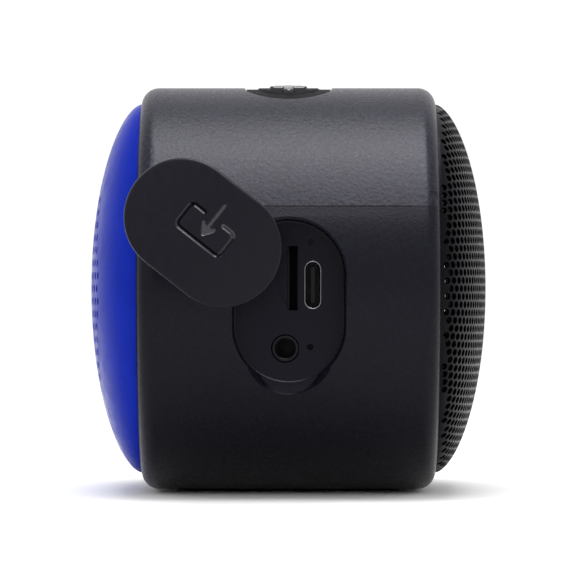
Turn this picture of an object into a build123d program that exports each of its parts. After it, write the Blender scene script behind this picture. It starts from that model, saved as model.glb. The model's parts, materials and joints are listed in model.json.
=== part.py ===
"""Compact portable speaker with a coloured domed front and a perforated metal back.

Millimetres. +X points to the end that carries the ports, -Y to the front cover, +Z up.
The origin is the centre of the foot pad's underside, where the speaker rests.
Front and rear parts are drawn face up, with their height measured out from the middle
of the casing, and are then turned to the front or to the rear.
"""

import os

from build123d import *

# Casing: a stadium seen from the front, R_BODY high in the half and FLAT_HALF to each arc centre
R_BODY = 38.6
FLAT_HALF = 8.9
BODY_HALF = R_BODY + FLAT_HALF
CASING_HALF_DEPTH = 28.1
RIM_FILLET = 3.2
MOUTH_WALL = 3.0
CASING_WALL = 2.6
RELIEF_HALF_DEPTH = 22.0
FOOT_PROUD = 0.5
Z_MID = FOOT_PROUD + R_BODY
Z_TOP = Z_MID + R_BODY
SLIP = 0.1

# Screw posts moulded in the casing
POST_REACH = 32.6
POST_ANGLE = 45
POST_R = 3.8
POST_HALF_LENGTH = 23.4
PILOT_R = 1.3
PILOT_DEPTH = 10.0

# Mould parting groove across both ends
GROOVE_RISE = 15.2
GROOVE_SIZE = 0.16

# Front and rear domes
DOME_INSET = MOUTH_WALL + SLIP
DOME_CROWN = 9.8
DOME_POWER = 0.58
DOME_STEPS = 10
DOME_SKIRT = 2.0
COVER_WALL = 1.6
GRILLE_WALL = 0.7
CLOTH_WALL = 0.3
CLOTH_INSET = 12.0
GASKET_WIDTH = 2.0

# Baffles
BAFFLE_LOW = POST_HALF_LENGTH
BAFFLE_TOP = BAFFLE_LOW + 2.5
SCREW_R = 1.25
SCREW_HEAD_R = 2.3
SCREW_HEAD = 1.2
SCREW_LENGTH = 9.0
SCREW_CHAMFER = 0.4
DRIVE_LONG = 2.2
DRIVE_WIDE = 0.6
DRIVE_DEEP = 0.7
BOARD_SCREW_LENGTH = 5.5
FLANGE_SCREW_LENGTH = 1.2
SMALL_PILOT_R = 0.85

# Loudspeaker driver, heights measured out from the middle of the casing
DRIVER_HOLE_R = 21.2
FLANGE_R = 26.0
FLANGE_INNER_R = 20.0
FLANGE_LOW = BAFFLE_TOP + 0.3
FLANGE_TOP = FLANGE_LOW + 1.3
DRIVER_SCREW_REACH = 23.9
BASKET_FOOT = 15.2
SHEET = 0.8
TOP_PLATE_R = 14.5
TOP_PLATE_LOW = 12.7
MAGNET_R = 16.5
MAGNET_BORE_R = 10.0
MAGNET_LOW = 6.7
YOKE_LOW = 4.2
POLE_R = 7.0
GAP_R = 8.6
COIL_BORE_R = 7.5
FORMER_R = 7.7
WINDING_R = 8.2
COIL_LOW = 11.9
COIL_WINDING_TOP = 15.6
FORMER_TOP = 20.2
CONE_R = 17.4
CONE_TOP = 27.3
CONE_WALL = 0.4
ROLL_MIDDLE_R = 19.3
ROLL_R = 1.4
CAP_R = 8.6
CAP_LOW = 21.6
CAP_RISE = 2.2
SPIDER_TOP = 18.1
SPIDER_R = 14.2
SPIDER_LEDGE = 17.3
BASKET_SHOULDER = 22.0
WINDOW_INNER = 16.2
WINDOW_HALF_WIDTH = 5.5
WINDOW_LOW = 18.4
WINDOW_TOP = 21.8
TAG_STRIP_HALF_LENGTH = 5.0
TAG_STRIP_WIDE = 3.0
TAG_STRIP_LOW = 10.5
TAG_STRIP_WALL = 1.0
TAG_X = 3.0
TAG_WIDE = 1.6
TAG_LONG = 1.4
TAG_LOW = 9.0
TAG_TOP = 12.6

# Passive radiator
RADIATOR_LONG = 58.0
RADIATOR_WIDE = 44.0
RADIATOR_FRAME_WIDTH = 3.0
RADIATOR_FRAME_TOP = BAFFLE_TOP + 1.4
RADIATOR_ROLL_WIDTH = 4.5
RADIATOR_PLATE_WALL = 1.0
RADIATOR_WEIGHT_LONG = 24.0
RADIATOR_WEIGHT_WIDE = 12.0
RADIATOR_WEIGHT_WALL = 1.5

# Port recess in the +X end, y and z from the middle of the end
RECESS_LONG = 30.2
RECESS_WIDE = 20.8
RECESS_Y = 0.1
RECESS_Z = -2.4
RECESS_DEPTH = 6.0
RECESS_WALL = 1.5
FLOOR_X = BODY_HALF - RECESS_DEPTH
FLOOR_BACK_X = FLOOR_X - RECESS_WALL
RECESS_EDGE = 0.45
FLOOR_EDGE = 0.6
NOTCH_Z = -13.6
NOTCH_OUTER_R = 8.4
NOTCH_INNER_R = 5.8
NOTCH_INNER_X = FLOOR_X + 0.3
NOTCH_OUTER_X = FLOOR_X + 4.0

# Circuit board that carries the ports on its two faces
BOARD_FRONT_Y = 1.9
BOARD_BACK_Y = 2.9
BOARD_HALF_LENGTH = 28.0
BOARD_HALF_HEIGHT = 19.0
BOARD_TONGUE_LOW = -15.5
BOARD_TONGUE_TOP = 10.5
BOARD_EDGE_X = FLOOR_BACK_X - 0.3
STANDOFF_X = 24.0
STANDOFF_Z = 16.2
STANDOFF_R = 2.6
STANDOFF_PILOT_DEPTH = 7.0
MODULE_HIGH = 2.2
CHIP_HIGH = 1.2

# Ports, y and z from the middle of the end
USB_Y = 4.5
USB_Z = 0.65
USB_LONG = 8.94
USB_WIDE = 3.16
USB_SHELL = 0.3
USB_DEPTH = 7.4
USB_TONGUE_LONG = 6.69
USB_TONGUE_WIDE = 0.7
CARD_Y = 0.8
CARD_Z = 1.9
CARD_SLOT_LONG = 11.9
CARD_SLOT_WIDE = 2.0
CARD_SOCKET_LONG = 14.0
CARD_SOCKET_DEPTH = 14.6
SCOOP_R = 7.8
SCOOP_WIDE = 2.0
SCOOP_DEPTH = 0.9
AUX_Y = -0.6
AUX_Z = -11.1
AUX_BORE_R = 1.8
AUX_COLLAR_R = 2.55
AUX_LIP = 0.2
AUX_BODY_DEPTH = 12.4
AUX_BODY_HIGH = 6.2
MIC_Y = 4.0
MIC_Z = -10.8
MIC_HOLE_R = 0.6
LED_Y = 4.1
LED_Z = 8.6
LED_HOLE_R = 0.55

# Rubber flap over the ports, its tether, and how far it is pulled out and swung open
FLAP_LONG = 30.5
FLAP_WIDE = 21.15
FLAP_WALL = 2.0
FLAP_EDGE = 0.45
FLAP_BACK_X = FLOOR_X + 0.2
FLAP_SWING = 128.3
FLAP_STANDOFF = 18.0
TETHER_Y = -4.65
TETHER_Z = 7.6
TETHER_R = 1.5
TETHER_BOSS_R = 2.9
TETHER_BOSS_INSET = 3.2
TETHER_SOCKET_INSET = 0.9
TETHER_BEAD_R = 2.3
TETHER_BEAD = 1.6
TETHER_END = 0.6
RUNNING = 0.06

# Keypad on top, insets measured in from the casing's surface
PAD_LONG = 45.0
PAD_WIDE = 16.2
PAD_POCKET_INSET = 1.6
PAD_BACK_INSET = 1.55
PAD_FACE_INSET = 0.25
PAD_GAP = 0.15
POCKET_EDGE = 0.3
ISLAND_LONG = 38.0
ISLAND_WIDE = 11.5
KEY_PITCH = 10.0
KEY_LONG = 7.2
KEY_BAR = 1.9
KEY_PROUD = 0.6
KEY_BACK_INSET = 1.15
KEY_GAP = 0.12
KEY_POST_TOP_INSET = 1.0
KEY_POST_R = 1.2
KEY_POST_HOLE_R = 1.6
KEY_POST_END = 4.4
PLUNGER_R = 1.0
PLUNGER_END = 5.4
SWITCH_SIZE = 4.6
SWITCH_TOP = 4.8
SWITCH_BORE_R = 1.1
SWITCH_BORE_END = 5.9
KEY_BOARD_TOP = 6.6
KEY_BOARD_WALL = 1.0
KEY_BOARD_HALF_LENGTH = 21.0
KEY_BOARD_HALF_WIDTH = 6.5
KEY_BOSS_X = 19.6
KEY_BOSS_R = 1.9
KEY_PILOT_R = 0.85
KEY_PILOT_ROOF = 1.3
KEY_SCREW_R = 0.8
KEY_SCREW_HOLE_R = 0.95
KEY_SCREW_HEAD_R = 1.3
KEY_SCREW_HEAD = 0.8
KEY_SCREW_LENGTH = 3.4

# Foot pad
FOOT_WIDE = 14.6
FOOT_LONG = 44.0
FOOT_POCKET = 0.8

# Battery and its leads
CELL_LONG = 40.0
CELL_HIGH = 30.0
CELL_DEEP = 8.0
CELL_FOAM = 0.5
FOAM_HALF_LENGTH = 16.0
FOAM_HALF_HEIGHT = 11.0
LEAD_R = 0.6
LEAD_DROP = 2.5
LEAD_BEND = 1.6
CELL_LEAD_REACH = 4.5
CELL_LEAD_Z = 3.0
CELL_LEAD_BEND = 1.8
CELL_ROUND = 2.5

FRONT = Pos(0, 0, Z_MID) * Rot(90, 0, 0)
REAR = Pos(0, 0, Z_MID) * Rot(-90, 0, 0)
FLAP_AXIS = Axis((0, TETHER_Y, Z_MID + TETHER_Z), (1, 0, 0))
OPENED = Pos(FLAP_STANDOFF, 0, 0)


def stadium(inset, low, high):
    """The casing's outline, inset all round, from one height to another, face up."""
    outline = SlotOverall(2 * (BODY_HALF - inset), 2 * (R_BODY - inset))
    return Pos(0, 0, low) * extrude(outline, high - low)


def stadium_at(inset):
    """The same outline standing in place, deeper than the casing, to trim curved walls."""
    return FRONT * stadium(inset, -2 * CASING_HALF_DEPTH, 2 * CASING_HALF_DEPTH)


def slot_prism(long, wide, low, high):
    """An upright prism of stadium outline."""
    return Pos(0, 0, low) * extrude(SlotOverall(long, wide), high - low)


def tube(outer_r, inner_r, low, high):
    """A round tube or ring, face up."""
    solid = Pos(0, 0, low) * extrude(Circle(outer_r), high - low)
    if inner_r:
        solid -= Pos(0, 0, low) * extrude(Circle(inner_r), high - low)
    return solid


def block(x0, x1, y0, y1, z0, z1):
    """A box between two corners."""
    return Pos(x0, y0, z0) * Box(x1 - x0, y1 - y0, z1 - z0, align=Align.MIN)


def end_plane(x, y, z):
    """A plane facing +X, with y and z measured from the middle of the end."""
    return Plane((x, y, Z_MID + z), x_dir=(0, 1, 0), z_dir=(1, 0, 0))


def end_rod(radius, x0, x1, y, z):
    """A round rod along X."""
    return extrude(end_plane(x0, y, z) * Circle(radius), x1 - x0)


def end_slot(long, wide, x0, x1, y, z):
    """An upright stadium prism along X."""
    return extrude(end_plane(x0, y, z) * SlotOverall(long, wide, 90), x1 - x0)


def dome(inset, crown, low):
    """A solid dome of stadium plan: one curve swept round both ends and along the middle."""
    rim = R_BODY - inset
    base = CASING_HALF_DEPTH
    steps = [n / DOME_STEPS for n in range(DOME_STEPS + 1)]
    curve = [(rim * t, base + crown * (1 - t * t) ** DOME_POWER) for t in steps]
    arch = Spline(*curve, tangents=[(1, 0), (0, -1)])
    sides = Polyline((rim, base), (rim, low), (0, low), (0, base + crown))
    half = Plane.YZ * make_face([arch, sides])
    spin = Axis((FLAT_HALF, 0, 0), (0, 0, -1))
    end = revolve(Pos(FLAT_HALF, 0, 0) * half, spin, 180)
    middle = Pos(-FLAT_HALF, 0, 0) * extrude(half, 2 * FLAT_HALF)
    middle += mirror(middle, Plane.XZ)
    return middle + end + mirror(end, Plane.YZ)


def post_places():
    """The four screw posts, as places on the face."""
    arm = Vector(POST_REACH, 0).rotate(Axis.Z, POST_ANGLE)
    return [Pos(sx * (FLAT_HALF + arm.X), sy * arm.Y) for sx in (-1, 1) for sy in (-1, 1)]


def screw(head_low, length):
    """A pan-head screw whose head rests at a height and whose shank runs down from it."""
    body = tube(SCREW_HEAD_R, 0, head_low, head_low + SCREW_HEAD)
    body = chamfer(body.edges().sort_by(Axis.Z)[-1], SCREW_CHAMFER)
    body += tube(SCREW_R, 0, head_low - length, head_low)
    drive = Rectangle(DRIVE_LONG, DRIVE_WIDE) + Rectangle(DRIVE_WIDE, DRIVE_LONG)
    return body - Pos(0, 0, head_low + SCREW_HEAD - DRIVE_DEEP) * extrude(drive, 1)


def groups(solids):
    """Identical pieces kept as separate solids in one node."""
    return Compound(children=[solid.solid() for solid in solids])


# ---------------------------------------------------------------- casing


def casing_band():
    """The tubular housing: walls, screw posts, port recess, keypad pocket and foot pocket."""
    outer = stadium(0, -CASING_HALF_DEPTH, CASING_HALF_DEPTH)
    rims = outer.faces().sort_by(Axis.Z)
    outer = fillet(rims[0].edges() + rims[-1].edges(), RIM_FILLET)
    band = outer - stadium(MOUTH_WALL, -2 * CASING_HALF_DEPTH, 2 * CASING_HALF_DEPTH)
    band -= stadium(CASING_WALL, -RELIEF_HALF_DEPTH, RELIEF_HALF_DEPTH)
    for place in post_places():
        band += place * tube(POST_R, 0, -POST_HALF_LENGTH, POST_HALF_LENGTH)
    for place in post_places():
        for low in (-POST_HALF_LENGTH, POST_HALF_LENGTH - PILOT_DEPTH):
            band -= place * tube(PILOT_R, 0, low, low + PILOT_DEPTH)
    band = FRONT * band
    band = with_key_bosses(band)
    band = with_port_recess(band)
    band = fillet(pocket_edges(band - keypad_pocket()), POCKET_EDGE)
    band -= foot_pocket()
    return band - parting_grooves()


def with_key_bosses(band):
    """Two short bosses under the top wall, which hold the key board."""
    top = Z_TOP - CASING_WALL
    for side in (-1, 1):
        place = Pos(side * KEY_BOSS_X, 0, 0)
        band += place * tube(KEY_BOSS_R, 0, Z_TOP - KEY_BOARD_TOP, top) & stadium_at(1)
        band -= place * tube(KEY_PILOT_R, 0, Z_TOP - KEY_BOARD_TOP, top - KEY_PILOT_ROOF)
    return band


def with_port_recess(band):
    """A stadium cup sunk in the +X end, with the ports' holes in its flat floor."""
    wide = RECESS_WIDE + 2 * RECESS_WALL
    long = RECESS_LONG + 2 * RECESS_WALL
    cup = end_slot(long, wide, FLOOR_BACK_X, BODY_HALF, RECESS_Y, RECESS_Z)
    band += cup & stadium_at(1)
    out = BODY_HALF + 1
    band -= end_slot(RECESS_LONG, RECESS_WIDE, FLOOR_X, out, RECESS_Y, RECESS_Z)
    band = fillet(recess_edges(band, FLOOR_X + 1, out), RECESS_EDGE)
    band = fillet(recess_edges(band, FLOOR_X - SLIP, FLOOR_X + SLIP), FLOOR_EDGE)
    back = FLOOR_BACK_X - 1
    band -= end_slot(USB_LONG + SLIP, USB_WIDE + SLIP, back, out, USB_Y, USB_Z)
    card_hole = block(back, out, -CARD_SLOT_WIDE / 2, CARD_SLOT_WIDE / 2,
                      -CARD_SLOT_LONG / 2, CARD_SLOT_LONG / 2)
    band -= Pos(0, CARD_Y, Z_MID + CARD_Z) * card_hole
    band -= card_scoop()
    band -= end_rod(AUX_COLLAR_R + SLIP, back, out, AUX_Y, AUX_Z)
    band -= end_rod(MIC_HOLE_R, back, out, MIC_Y, MIC_Z)
    band -= end_rod(LED_HOLE_R, back, out, LED_Y, LED_Z)
    band -= end_rod(TETHER_R + RUNNING, back, out, TETHER_Y, TETHER_Z)
    return band - finger_notch()


def recess_edges(band, low, high):
    """The recess's edges between two places along X: those of its mouth or of its floor."""
    half = RECESS_WIDE / 2 + SLIP
    edges = band.edges().filter_by_position(Axis.X, low, high)
    return edges.filter_by_position(Axis.Y, RECESS_Y - half, RECESS_Y + half)


def card_scoop():
    """A shallow half-moon beside the card slot, where a nail pushes the card in."""
    edge = CARD_Y - CARD_SLOT_WIDE / 2
    disc = end_rod(SCOOP_R, FLOOR_X - SCOOP_DEPTH, FLOOR_X + 1, edge + SCOOP_R - SCOOP_WIDE, CARD_Z)
    side = block(FLOOR_X - 2, FLOOR_X + 2, edge - 4, edge + 0.1, -SCOOP_R, SCOOP_R)
    return disc & Pos(0, 0, Z_MID + CARD_Z) * side


def finger_notch():
    """A bevel under the recess, where a finger gets behind the flap."""
    deep = NOTCH_OUTER_X - NOTCH_INNER_X
    cone = Cone(NOTCH_INNER_R, NOTCH_OUTER_R, deep, align=(Align.CENTER, Align.CENTER, Align.MIN))
    return end_plane(NOTCH_INNER_X, RECESS_Y, NOTCH_Z).location * cone


def keypad_pocket():
    """The stadium pocket over the top, and a hole under each key."""
    over = Z_TOP + 2
    pocket = slot_prism(PAD_LONG + 2 * PAD_GAP, PAD_WIDE + 2 * PAD_GAP, Z_MID, over)
    pocket -= stadium_at(PAD_POCKET_INSET)
    for x in key_places():
        pocket += Pos(x, 0, 0) * tube(KEY_POST_HOLE_R, 0, Z_TOP - SWITCH_TOP, over)
    return pocket


def pocket_edges(band):
    """The rim of the keypad pocket, on the casing's outer surface."""
    rim = []
    for edge in band.edges().filter_by_position(Axis.Y, -PAD_WIDE, PAD_WIDE):
        middle = edge @ 0.5
        along = max(0, abs(middle.X) - FLAT_HALF)
        reach = Vector(along, 0, middle.Z - Z_MID).length
        if abs(middle.X) < PAD_LONG / 2 + 1 and middle.Z > Z_MID and abs(reach - R_BODY) < 0.01:
            rim.append(edge)
    return rim


def foot_pocket():
    """The shallow pocket under the casing that the foot pad is glued in."""
    low = FOOT_PROUD - 1
    pad = Rectangle(FOOT_WIDE + SLIP, FOOT_LONG + SLIP)
    pad = fillet(pad.vertices(), FOOT_WIDE / 2 - 0.5)
    return Pos(0, 0, low) * extrude(pad, 1 + FOOT_POCKET)


def parting_grooves():
    """A hairline across both ends of the casing."""
    line = Z_MID + GROOVE_RISE
    strip = block(-BODY_HALF - 1, BODY_HALF + 1, -CASING_HALF_DEPTH - 1, CASING_HALF_DEPTH + 1,
                  line - GROOVE_SIZE / 2, line + GROOVE_SIZE / 2)
    kept = stadium(GROOVE_SIZE, -CASING_HALF_DEPTH, CASING_HALF_DEPTH)
    return strip - FRONT * kept


def foot_pad():
    """A rubber pad with rounded ends, proud of the casing."""
    pad = fillet(Rectangle(FOOT_WIDE, FOOT_LONG).vertices(), FOOT_WIDE / 2 - 0.5)
    solid = extrude(pad, FOOT_PROUD + FOOT_POCKET)
    return chamfer(solid.faces().sort_by(Axis.Z)[0].edges(), 0.3)


# ---------------------------------------------------------------- front and rear covers


def front_cover():
    """The coloured plastic dome with a short skirt that fits the casing's mouth."""
    low = CASING_HALF_DEPTH - DOME_SKIRT
    shell = dome(DOME_INSET, DOME_CROWN, low)
    return FRONT * (shell - dome(DOME_INSET + COVER_WALL, DOME_CROWN - COVER_WALL, low - 1))


def rear_grille():
    """The pressed sheet-metal dome at the back."""
    low = CASING_HALF_DEPTH - DOME_SKIRT
    shell = dome(DOME_INSET, DOME_CROWN, low)
    return REAR * (shell - dome(DOME_INSET + GRILLE_WALL, DOME_CROWN - GRILLE_WALL, low - 1))


def dust_cloth(side, cover_wall):
    """A thin cloth dome glued behind the holes of a cover."""
    near = cover_wall + 0.05
    far = near + CLOTH_WALL
    low = CASING_HALF_DEPTH - DOME_SKIRT
    cloth = dome(DOME_INSET + near, DOME_CROWN - near, low)
    cloth -= dome(DOME_INSET + far, DOME_CROWN - far, low - 1)
    return side * (cloth & stadium(CLOTH_INSET, low - 1, CASING_HALF_DEPTH + DOME_CROWN))


def cover_gasket(side):
    """A flat foam ring between a baffle and the skirt of its cover."""
    low = BAFFLE_TOP
    top = CASING_HALF_DEPTH - DOME_SKIRT
    ring = stadium(DOME_INSET, low, top)
    return side * (ring - stadium(DOME_INSET + GASKET_WIDTH, low - 1, top + 1))


def baffle_blank():
    """A plate that fits the casing's mouth and rests on the screw posts."""
    plate = stadium(DOME_INSET, BAFFLE_LOW, BAFFLE_TOP)
    for place in post_places():
        plate -= place * tube(SCREW_R + SLIP, 0, BAFFLE_LOW - 1, BAFFLE_TOP)
        plate -= place * tube(SCREW_HEAD_R + SLIP, 0, BAFFLE_TOP - SCREW_HEAD, BAFFLE_TOP + 1)
    return plate


def baffle_screws(side):
    """Four screws that hold a baffle, their heads sunk flush."""
    head_low = BAFFLE_TOP - SCREW_HEAD
    return groups([side * place * screw(head_low, SCREW_LENGTH) for place in post_places()])


# ---------------------------------------------------------------- loudspeaker driver


def driver_screw_places():
    """The driver's four screws, on the diagonals."""
    return [Rot(0, 0, 45 + 90 * n) * Pos(DRIVER_SCREW_REACH, 0) for n in range(4)]


def standoff_places():
    """The four standoffs of the circuit board."""
    return [Pos(sx * STANDOFF_X, sz * STANDOFF_Z) for sx in (-1, 1) for sz in (-1, 1)]


def front_baffle():
    """The plate behind the cover, which holds the driver and the board's standoffs."""
    plate = baffle_blank() - tube(DRIVER_HOLE_R, 0, BAFFLE_LOW - 1, BAFFLE_TOP + 1)
    for place in driver_screw_places():
        plate -= place * tube(SMALL_PILOT_R, 0, BAFFLE_LOW - 1, BAFFLE_TOP + 1)
    for place in standoff_places():
        plate += place * tube(STANDOFF_R, 0, -BOARD_FRONT_Y, BAFFLE_LOW + 0.5)
    for place in standoff_places():
        pilot_top = STANDOFF_PILOT_DEPTH - BOARD_FRONT_Y
        plate -= place * tube(PILOT_R, 0, -BOARD_FRONT_Y, pilot_top)
    return FRONT * plate


def spun(points):
    """A ring or cup of revolution about the driver's axis, from an outline of (r, height)."""
    outline = Polyline(*points, close=True)
    return FRONT * revolve(Plane.XZ * make_face(outline), Axis.Z)


def driver_gasket():
    """The foam ring between the driver's flange and the baffle."""
    ring = tube(FLANGE_R, DRIVER_HOLE_R, BAFFLE_TOP, FLANGE_LOW)
    for place in driver_screw_places():
        ring -= place * tube(SCREW_R + SLIP, 0, BAFFLE_TOP - 1, FLANGE_LOW + 1)
    return FRONT * ring


def driver_basket():
    """A pressed steel frame: flange, tapered wall with four windows, and foot."""
    basket = spun([
        (FLANGE_INNER_R, FLANGE_TOP), (FLANGE_R, FLANGE_TOP), (FLANGE_R, FLANGE_LOW),
        (FLANGE_INNER_R + SHEET, FLANGE_LOW), (FLANGE_INNER_R + SHEET, BASKET_SHOULDER),
        (SPIDER_R + 1.4, SPIDER_LEDGE - SHEET), (SPIDER_R - 0.6, SPIDER_LEDGE - SHEET),
        (SPIDER_R - 0.6, BASKET_FOOT), (GAP_R + 0.6, BASKET_FOOT),
        (GAP_R + 0.6, BASKET_FOOT + SHEET), (SPIDER_R - 1.4, BASKET_FOOT + SHEET),
        (SPIDER_R - 1.4, SPIDER_LEDGE), (SPIDER_R + 1.0, SPIDER_LEDGE),
        (FLANGE_INNER_R, BASKET_SHOULDER + 0.3),
    ])
    window = block(WINDOW_INNER, FLANGE_R, -WINDOW_HALF_WIDTH, WINDOW_HALF_WIDTH,
                   WINDOW_LOW, WINDOW_TOP)
    for n in range(4):
        basket -= FRONT * Rot(0, 0, 90 * n) * window
    for place in driver_screw_places():
        basket -= FRONT * place * tube(SCREW_R + 0.2, 0, FLANGE_LOW - 1, FLANGE_TOP + 1)
    return basket


def driver_screws():
    """Four short screws through the driver's flange."""
    return groups([FRONT * place * screw(FLANGE_TOP, FLANGE_SCREW_LENGTH)
                   for place in driver_screw_places()])


def driver_top_plate():
    """The steel washer at the front of the magnet."""
    return FRONT * tube(TOP_PLATE_R, GAP_R, TOP_PLATE_LOW, BASKET_FOOT)


def driver_magnet():
    """The ferrite ring magnet."""
    return FRONT * tube(MAGNET_R, MAGNET_BORE_R, MAGNET_LOW, TOP_PLATE_LOW)


def driver_yoke():
    """The rear steel disc with its pole piece."""
    return spun([(0, YOKE_LOW), (TOP_PLATE_R, YOKE_LOW), (TOP_PLATE_R, MAGNET_LOW),
                 (POLE_R, MAGNET_LOW), (POLE_R, BASKET_FOOT), (0, BASKET_FOOT)])


def voice_coil():
    """A thin former with the winding round its lower end."""
    coil = tube(FORMER_R, COIL_BORE_R, COIL_LOW, FORMER_TOP)
    return FRONT * (coil + tube(WINDING_R, COIL_BORE_R, COIL_LOW, COIL_WINDING_TOP))


def driver_cone():
    """The cone, from the former's top out to the surround."""
    inner = FORMER_R + 0.02
    return spun([(inner, FORMER_TOP), (CONE_R, CONE_TOP), (CONE_R + 1, CONE_TOP),
                 (CONE_R + 1, CONE_TOP - CONE_WALL), (CONE_R, CONE_TOP - CONE_WALL),
                 (inner, FORMER_TOP - 1.2)])


def dust_cap():
    """A shallow domed cap over the middle of the cone."""
    rise = CAP_RISE
    radius = (CAP_R * CAP_R + rise * rise) / (2 * rise)
    shell = Sphere(radius) - Sphere(radius - CONE_WALL)
    shell = Pos(0, 0, CAP_LOW + rise - radius) * shell
    return FRONT * (shell & tube(CAP_R, 0, CAP_LOW, CAP_LOW + rise + 1))


def driver_surround():
    """The rubber half-roll between the cone's rim and the flange."""
    low = CONE_TOP + 0.25
    roll = Pos(ROLL_MIDDLE_R, low) * (Circle(ROLL_R) - Circle(ROLL_R - 0.5))
    above = Pos(ROLL_MIDDLE_R, low) * Rectangle(9, 3, align=(Align.CENTER, Align.MIN))
    lip_in = Pos(ROLL_MIDDLE_R - ROLL_R - 0.1, low) * Rectangle(0.8, 0.5)
    lip_out = Pos(ROLL_MIDDLE_R + ROLL_R + 0.2, low) * Rectangle(1.0, 0.5)
    outline = (roll & above) + lip_in + lip_out
    ring = revolve(Plane.XZ * outline, Axis.Z)
    seat = tube(FLANGE_R + 1, FLANGE_INNER_R - 0.05, BAFFLE_LOW, FLANGE_TOP)
    return FRONT * (ring - seat - tube(CONE_R + 1.02, 0, BAFFLE_LOW, CONE_TOP))


def driver_spider():
    """The corrugated disc that centres the coil."""
    waves = 4
    inner = FORMER_R + 0.05
    step = (SPIDER_R - inner) / (2 * waves)
    heights = [SPIDER_TOP - 0.3 + (0.4 if n % 2 else -0.1) for n in range(2 * waves + 1)]
    upper = [(inner + step * n, h) for n, h in enumerate(heights)]
    upper[-1] = (SPIDER_R, SPIDER_LEDGE + 0.35)
    lower = [(r, h - 0.35) for r, h in reversed(upper)]
    return spun(upper + lower)


def driver_terminals():
    """A small tag strip beside the magnet with two solder tags."""
    near = MAGNET_R + SLIP
    strip = block(-TAG_STRIP_HALF_LENGTH, TAG_STRIP_HALF_LENGTH, near, near + TAG_STRIP_WIDE,
                  TAG_STRIP_LOW, TAG_STRIP_LOW + TAG_STRIP_WALL)
    middle = near + TAG_STRIP_WIDE / 2 - SLIP
    for x in (-TAG_X, TAG_X):
        strip += block(x - TAG_WIDE / 2, x + TAG_WIDE / 2, middle - TAG_LONG / 2,
                       middle + TAG_LONG / 2, TAG_LOW, TAG_TOP)
    return FRONT * strip


# ---------------------------------------------------------------- passive radiator


def radiator_ring(long, wide, width, low, top):
    """A flat stadium ring."""
    ring = slot_prism(long, wide, low, top)
    return ring - slot_prism(long - 2 * width, wide - 2 * width, low - 1, top + 1)


def rear_baffle():
    """The plate behind the grille, open behind the passive radiator."""
    long = RADIATOR_LONG - 2 * RADIATOR_FRAME_WIDTH
    wide = RADIATOR_WIDE - 2 * RADIATOR_FRAME_WIDTH
    return REAR * (baffle_blank() - slot_prism(long, wide, BAFFLE_LOW - 1, BAFFLE_TOP + 1))


def radiator_frame():
    """The plastic frame that the radiator's surround is moulded to."""
    return REAR * radiator_ring(RADIATOR_LONG, RADIATOR_WIDE, RADIATOR_FRAME_WIDTH,
                                BAFFLE_TOP, RADIATOR_FRAME_TOP)


def radiator_surround():
    """The rubber half-roll between the frame and the plate."""
    long = RADIATOR_LONG - 2
    wide = RADIATOR_WIDE - 2
    low = RADIATOR_FRAME_TOP
    ring = radiator_ring(long, wide, RADIATOR_ROLL_WIDTH + 3, low, low + 0.5)
    gap = RADIATOR_FRAME_WIDTH - 1
    outer = radiator_ring(long - 2 * gap, wide - 2 * gap, RADIATOR_ROLL_WIDTH, low, low + 2.1)
    outer = fillet(outer.faces().sort_by(Axis.Z)[-1].edges(), 1.6)
    hollow = radiator_ring(long - 2 * gap - 1, wide - 2 * gap - 1, RADIATOR_ROLL_WIDTH - 1,
                           low - 1, low + 1.6)
    return REAR * (ring + outer - hollow)


def radiator_plate():
    """The stiff plate in the middle of the passive radiator."""
    inset = 2 * (RADIATOR_ROLL_WIDTH + 2.1)
    low = RADIATOR_FRAME_TOP - RADIATOR_PLATE_WALL
    return REAR * slot_prism(RADIATOR_LONG - 2 - inset, RADIATOR_WIDE - 2 - inset, low,
                             RADIATOR_FRAME_TOP)


def radiator_weight():
    """A steel tuning weight glued behind the plate."""
    top = RADIATOR_FRAME_TOP - RADIATOR_PLATE_WALL
    return REAR * slot_prism(RADIATOR_WEIGHT_LONG, RADIATOR_WEIGHT_WIDE,
                             top - RADIATOR_WEIGHT_WALL, top)


# ---------------------------------------------------------------- electronics and ports


def main_board():
    """The circuit board, with a tongue that reaches the port recess."""
    high = 2 * BOARD_HALF_HEIGHT
    plate = block(-BOARD_HALF_LENGTH, BOARD_HALF_LENGTH, BOARD_FRONT_Y, BOARD_BACK_Y, 0, high)
    board = Pos(0, 0, Z_MID - BOARD_HALF_HEIGHT) * plate
    board += block(BOARD_HALF_LENGTH - 1, BOARD_EDGE_X, BOARD_FRONT_Y, BOARD_BACK_Y,
                   Z_MID + BOARD_TONGUE_LOW, Z_MID + BOARD_TONGUE_TOP)
    for place in standoff_places():
        board -= FRONT * place * tube(SCREW_R + 0.2, 0, -BOARD_BACK_Y - 1, 0)
    return board


def board_screws():
    """Four screws from behind the board into the standoffs."""
    turn = Rot(180, 0, 0)
    return groups([FRONT * place * turn * screw(BOARD_BACK_Y, BOARD_SCREW_LENGTH)
                   for place in standoff_places()])


def usb_c_shell():
    """The steel shell of the charging socket, flush with the recess floor."""
    back = FLOOR_X - USB_DEPTH
    shell = end_slot(USB_LONG, USB_WIDE, back, FLOOR_X, USB_Y, USB_Z)
    return shell - end_slot(USB_LONG - 2 * USB_SHELL, USB_WIDE - 2 * USB_SHELL, back - 1,
                            FLOOR_X + 1, USB_Y, USB_Z)


def usb_c_tongue():
    """The socket's insulator block and its contact tongue."""
    back = FLOOR_X - USB_DEPTH
    fit = 2 * USB_SHELL + 0.04
    core = end_slot(USB_LONG - fit, USB_WIDE - fit, back, back + 1.4, USB_Y, USB_Z)
    tongue = block(back + 1, FLOOR_X - 0.6, -USB_TONGUE_WIDE / 2, USB_TONGUE_WIDE / 2,
                   -USB_TONGUE_LONG / 2, USB_TONGUE_LONG / 2)
    return core + Pos(0, USB_Y, Z_MID + USB_Z) * tongue


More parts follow.
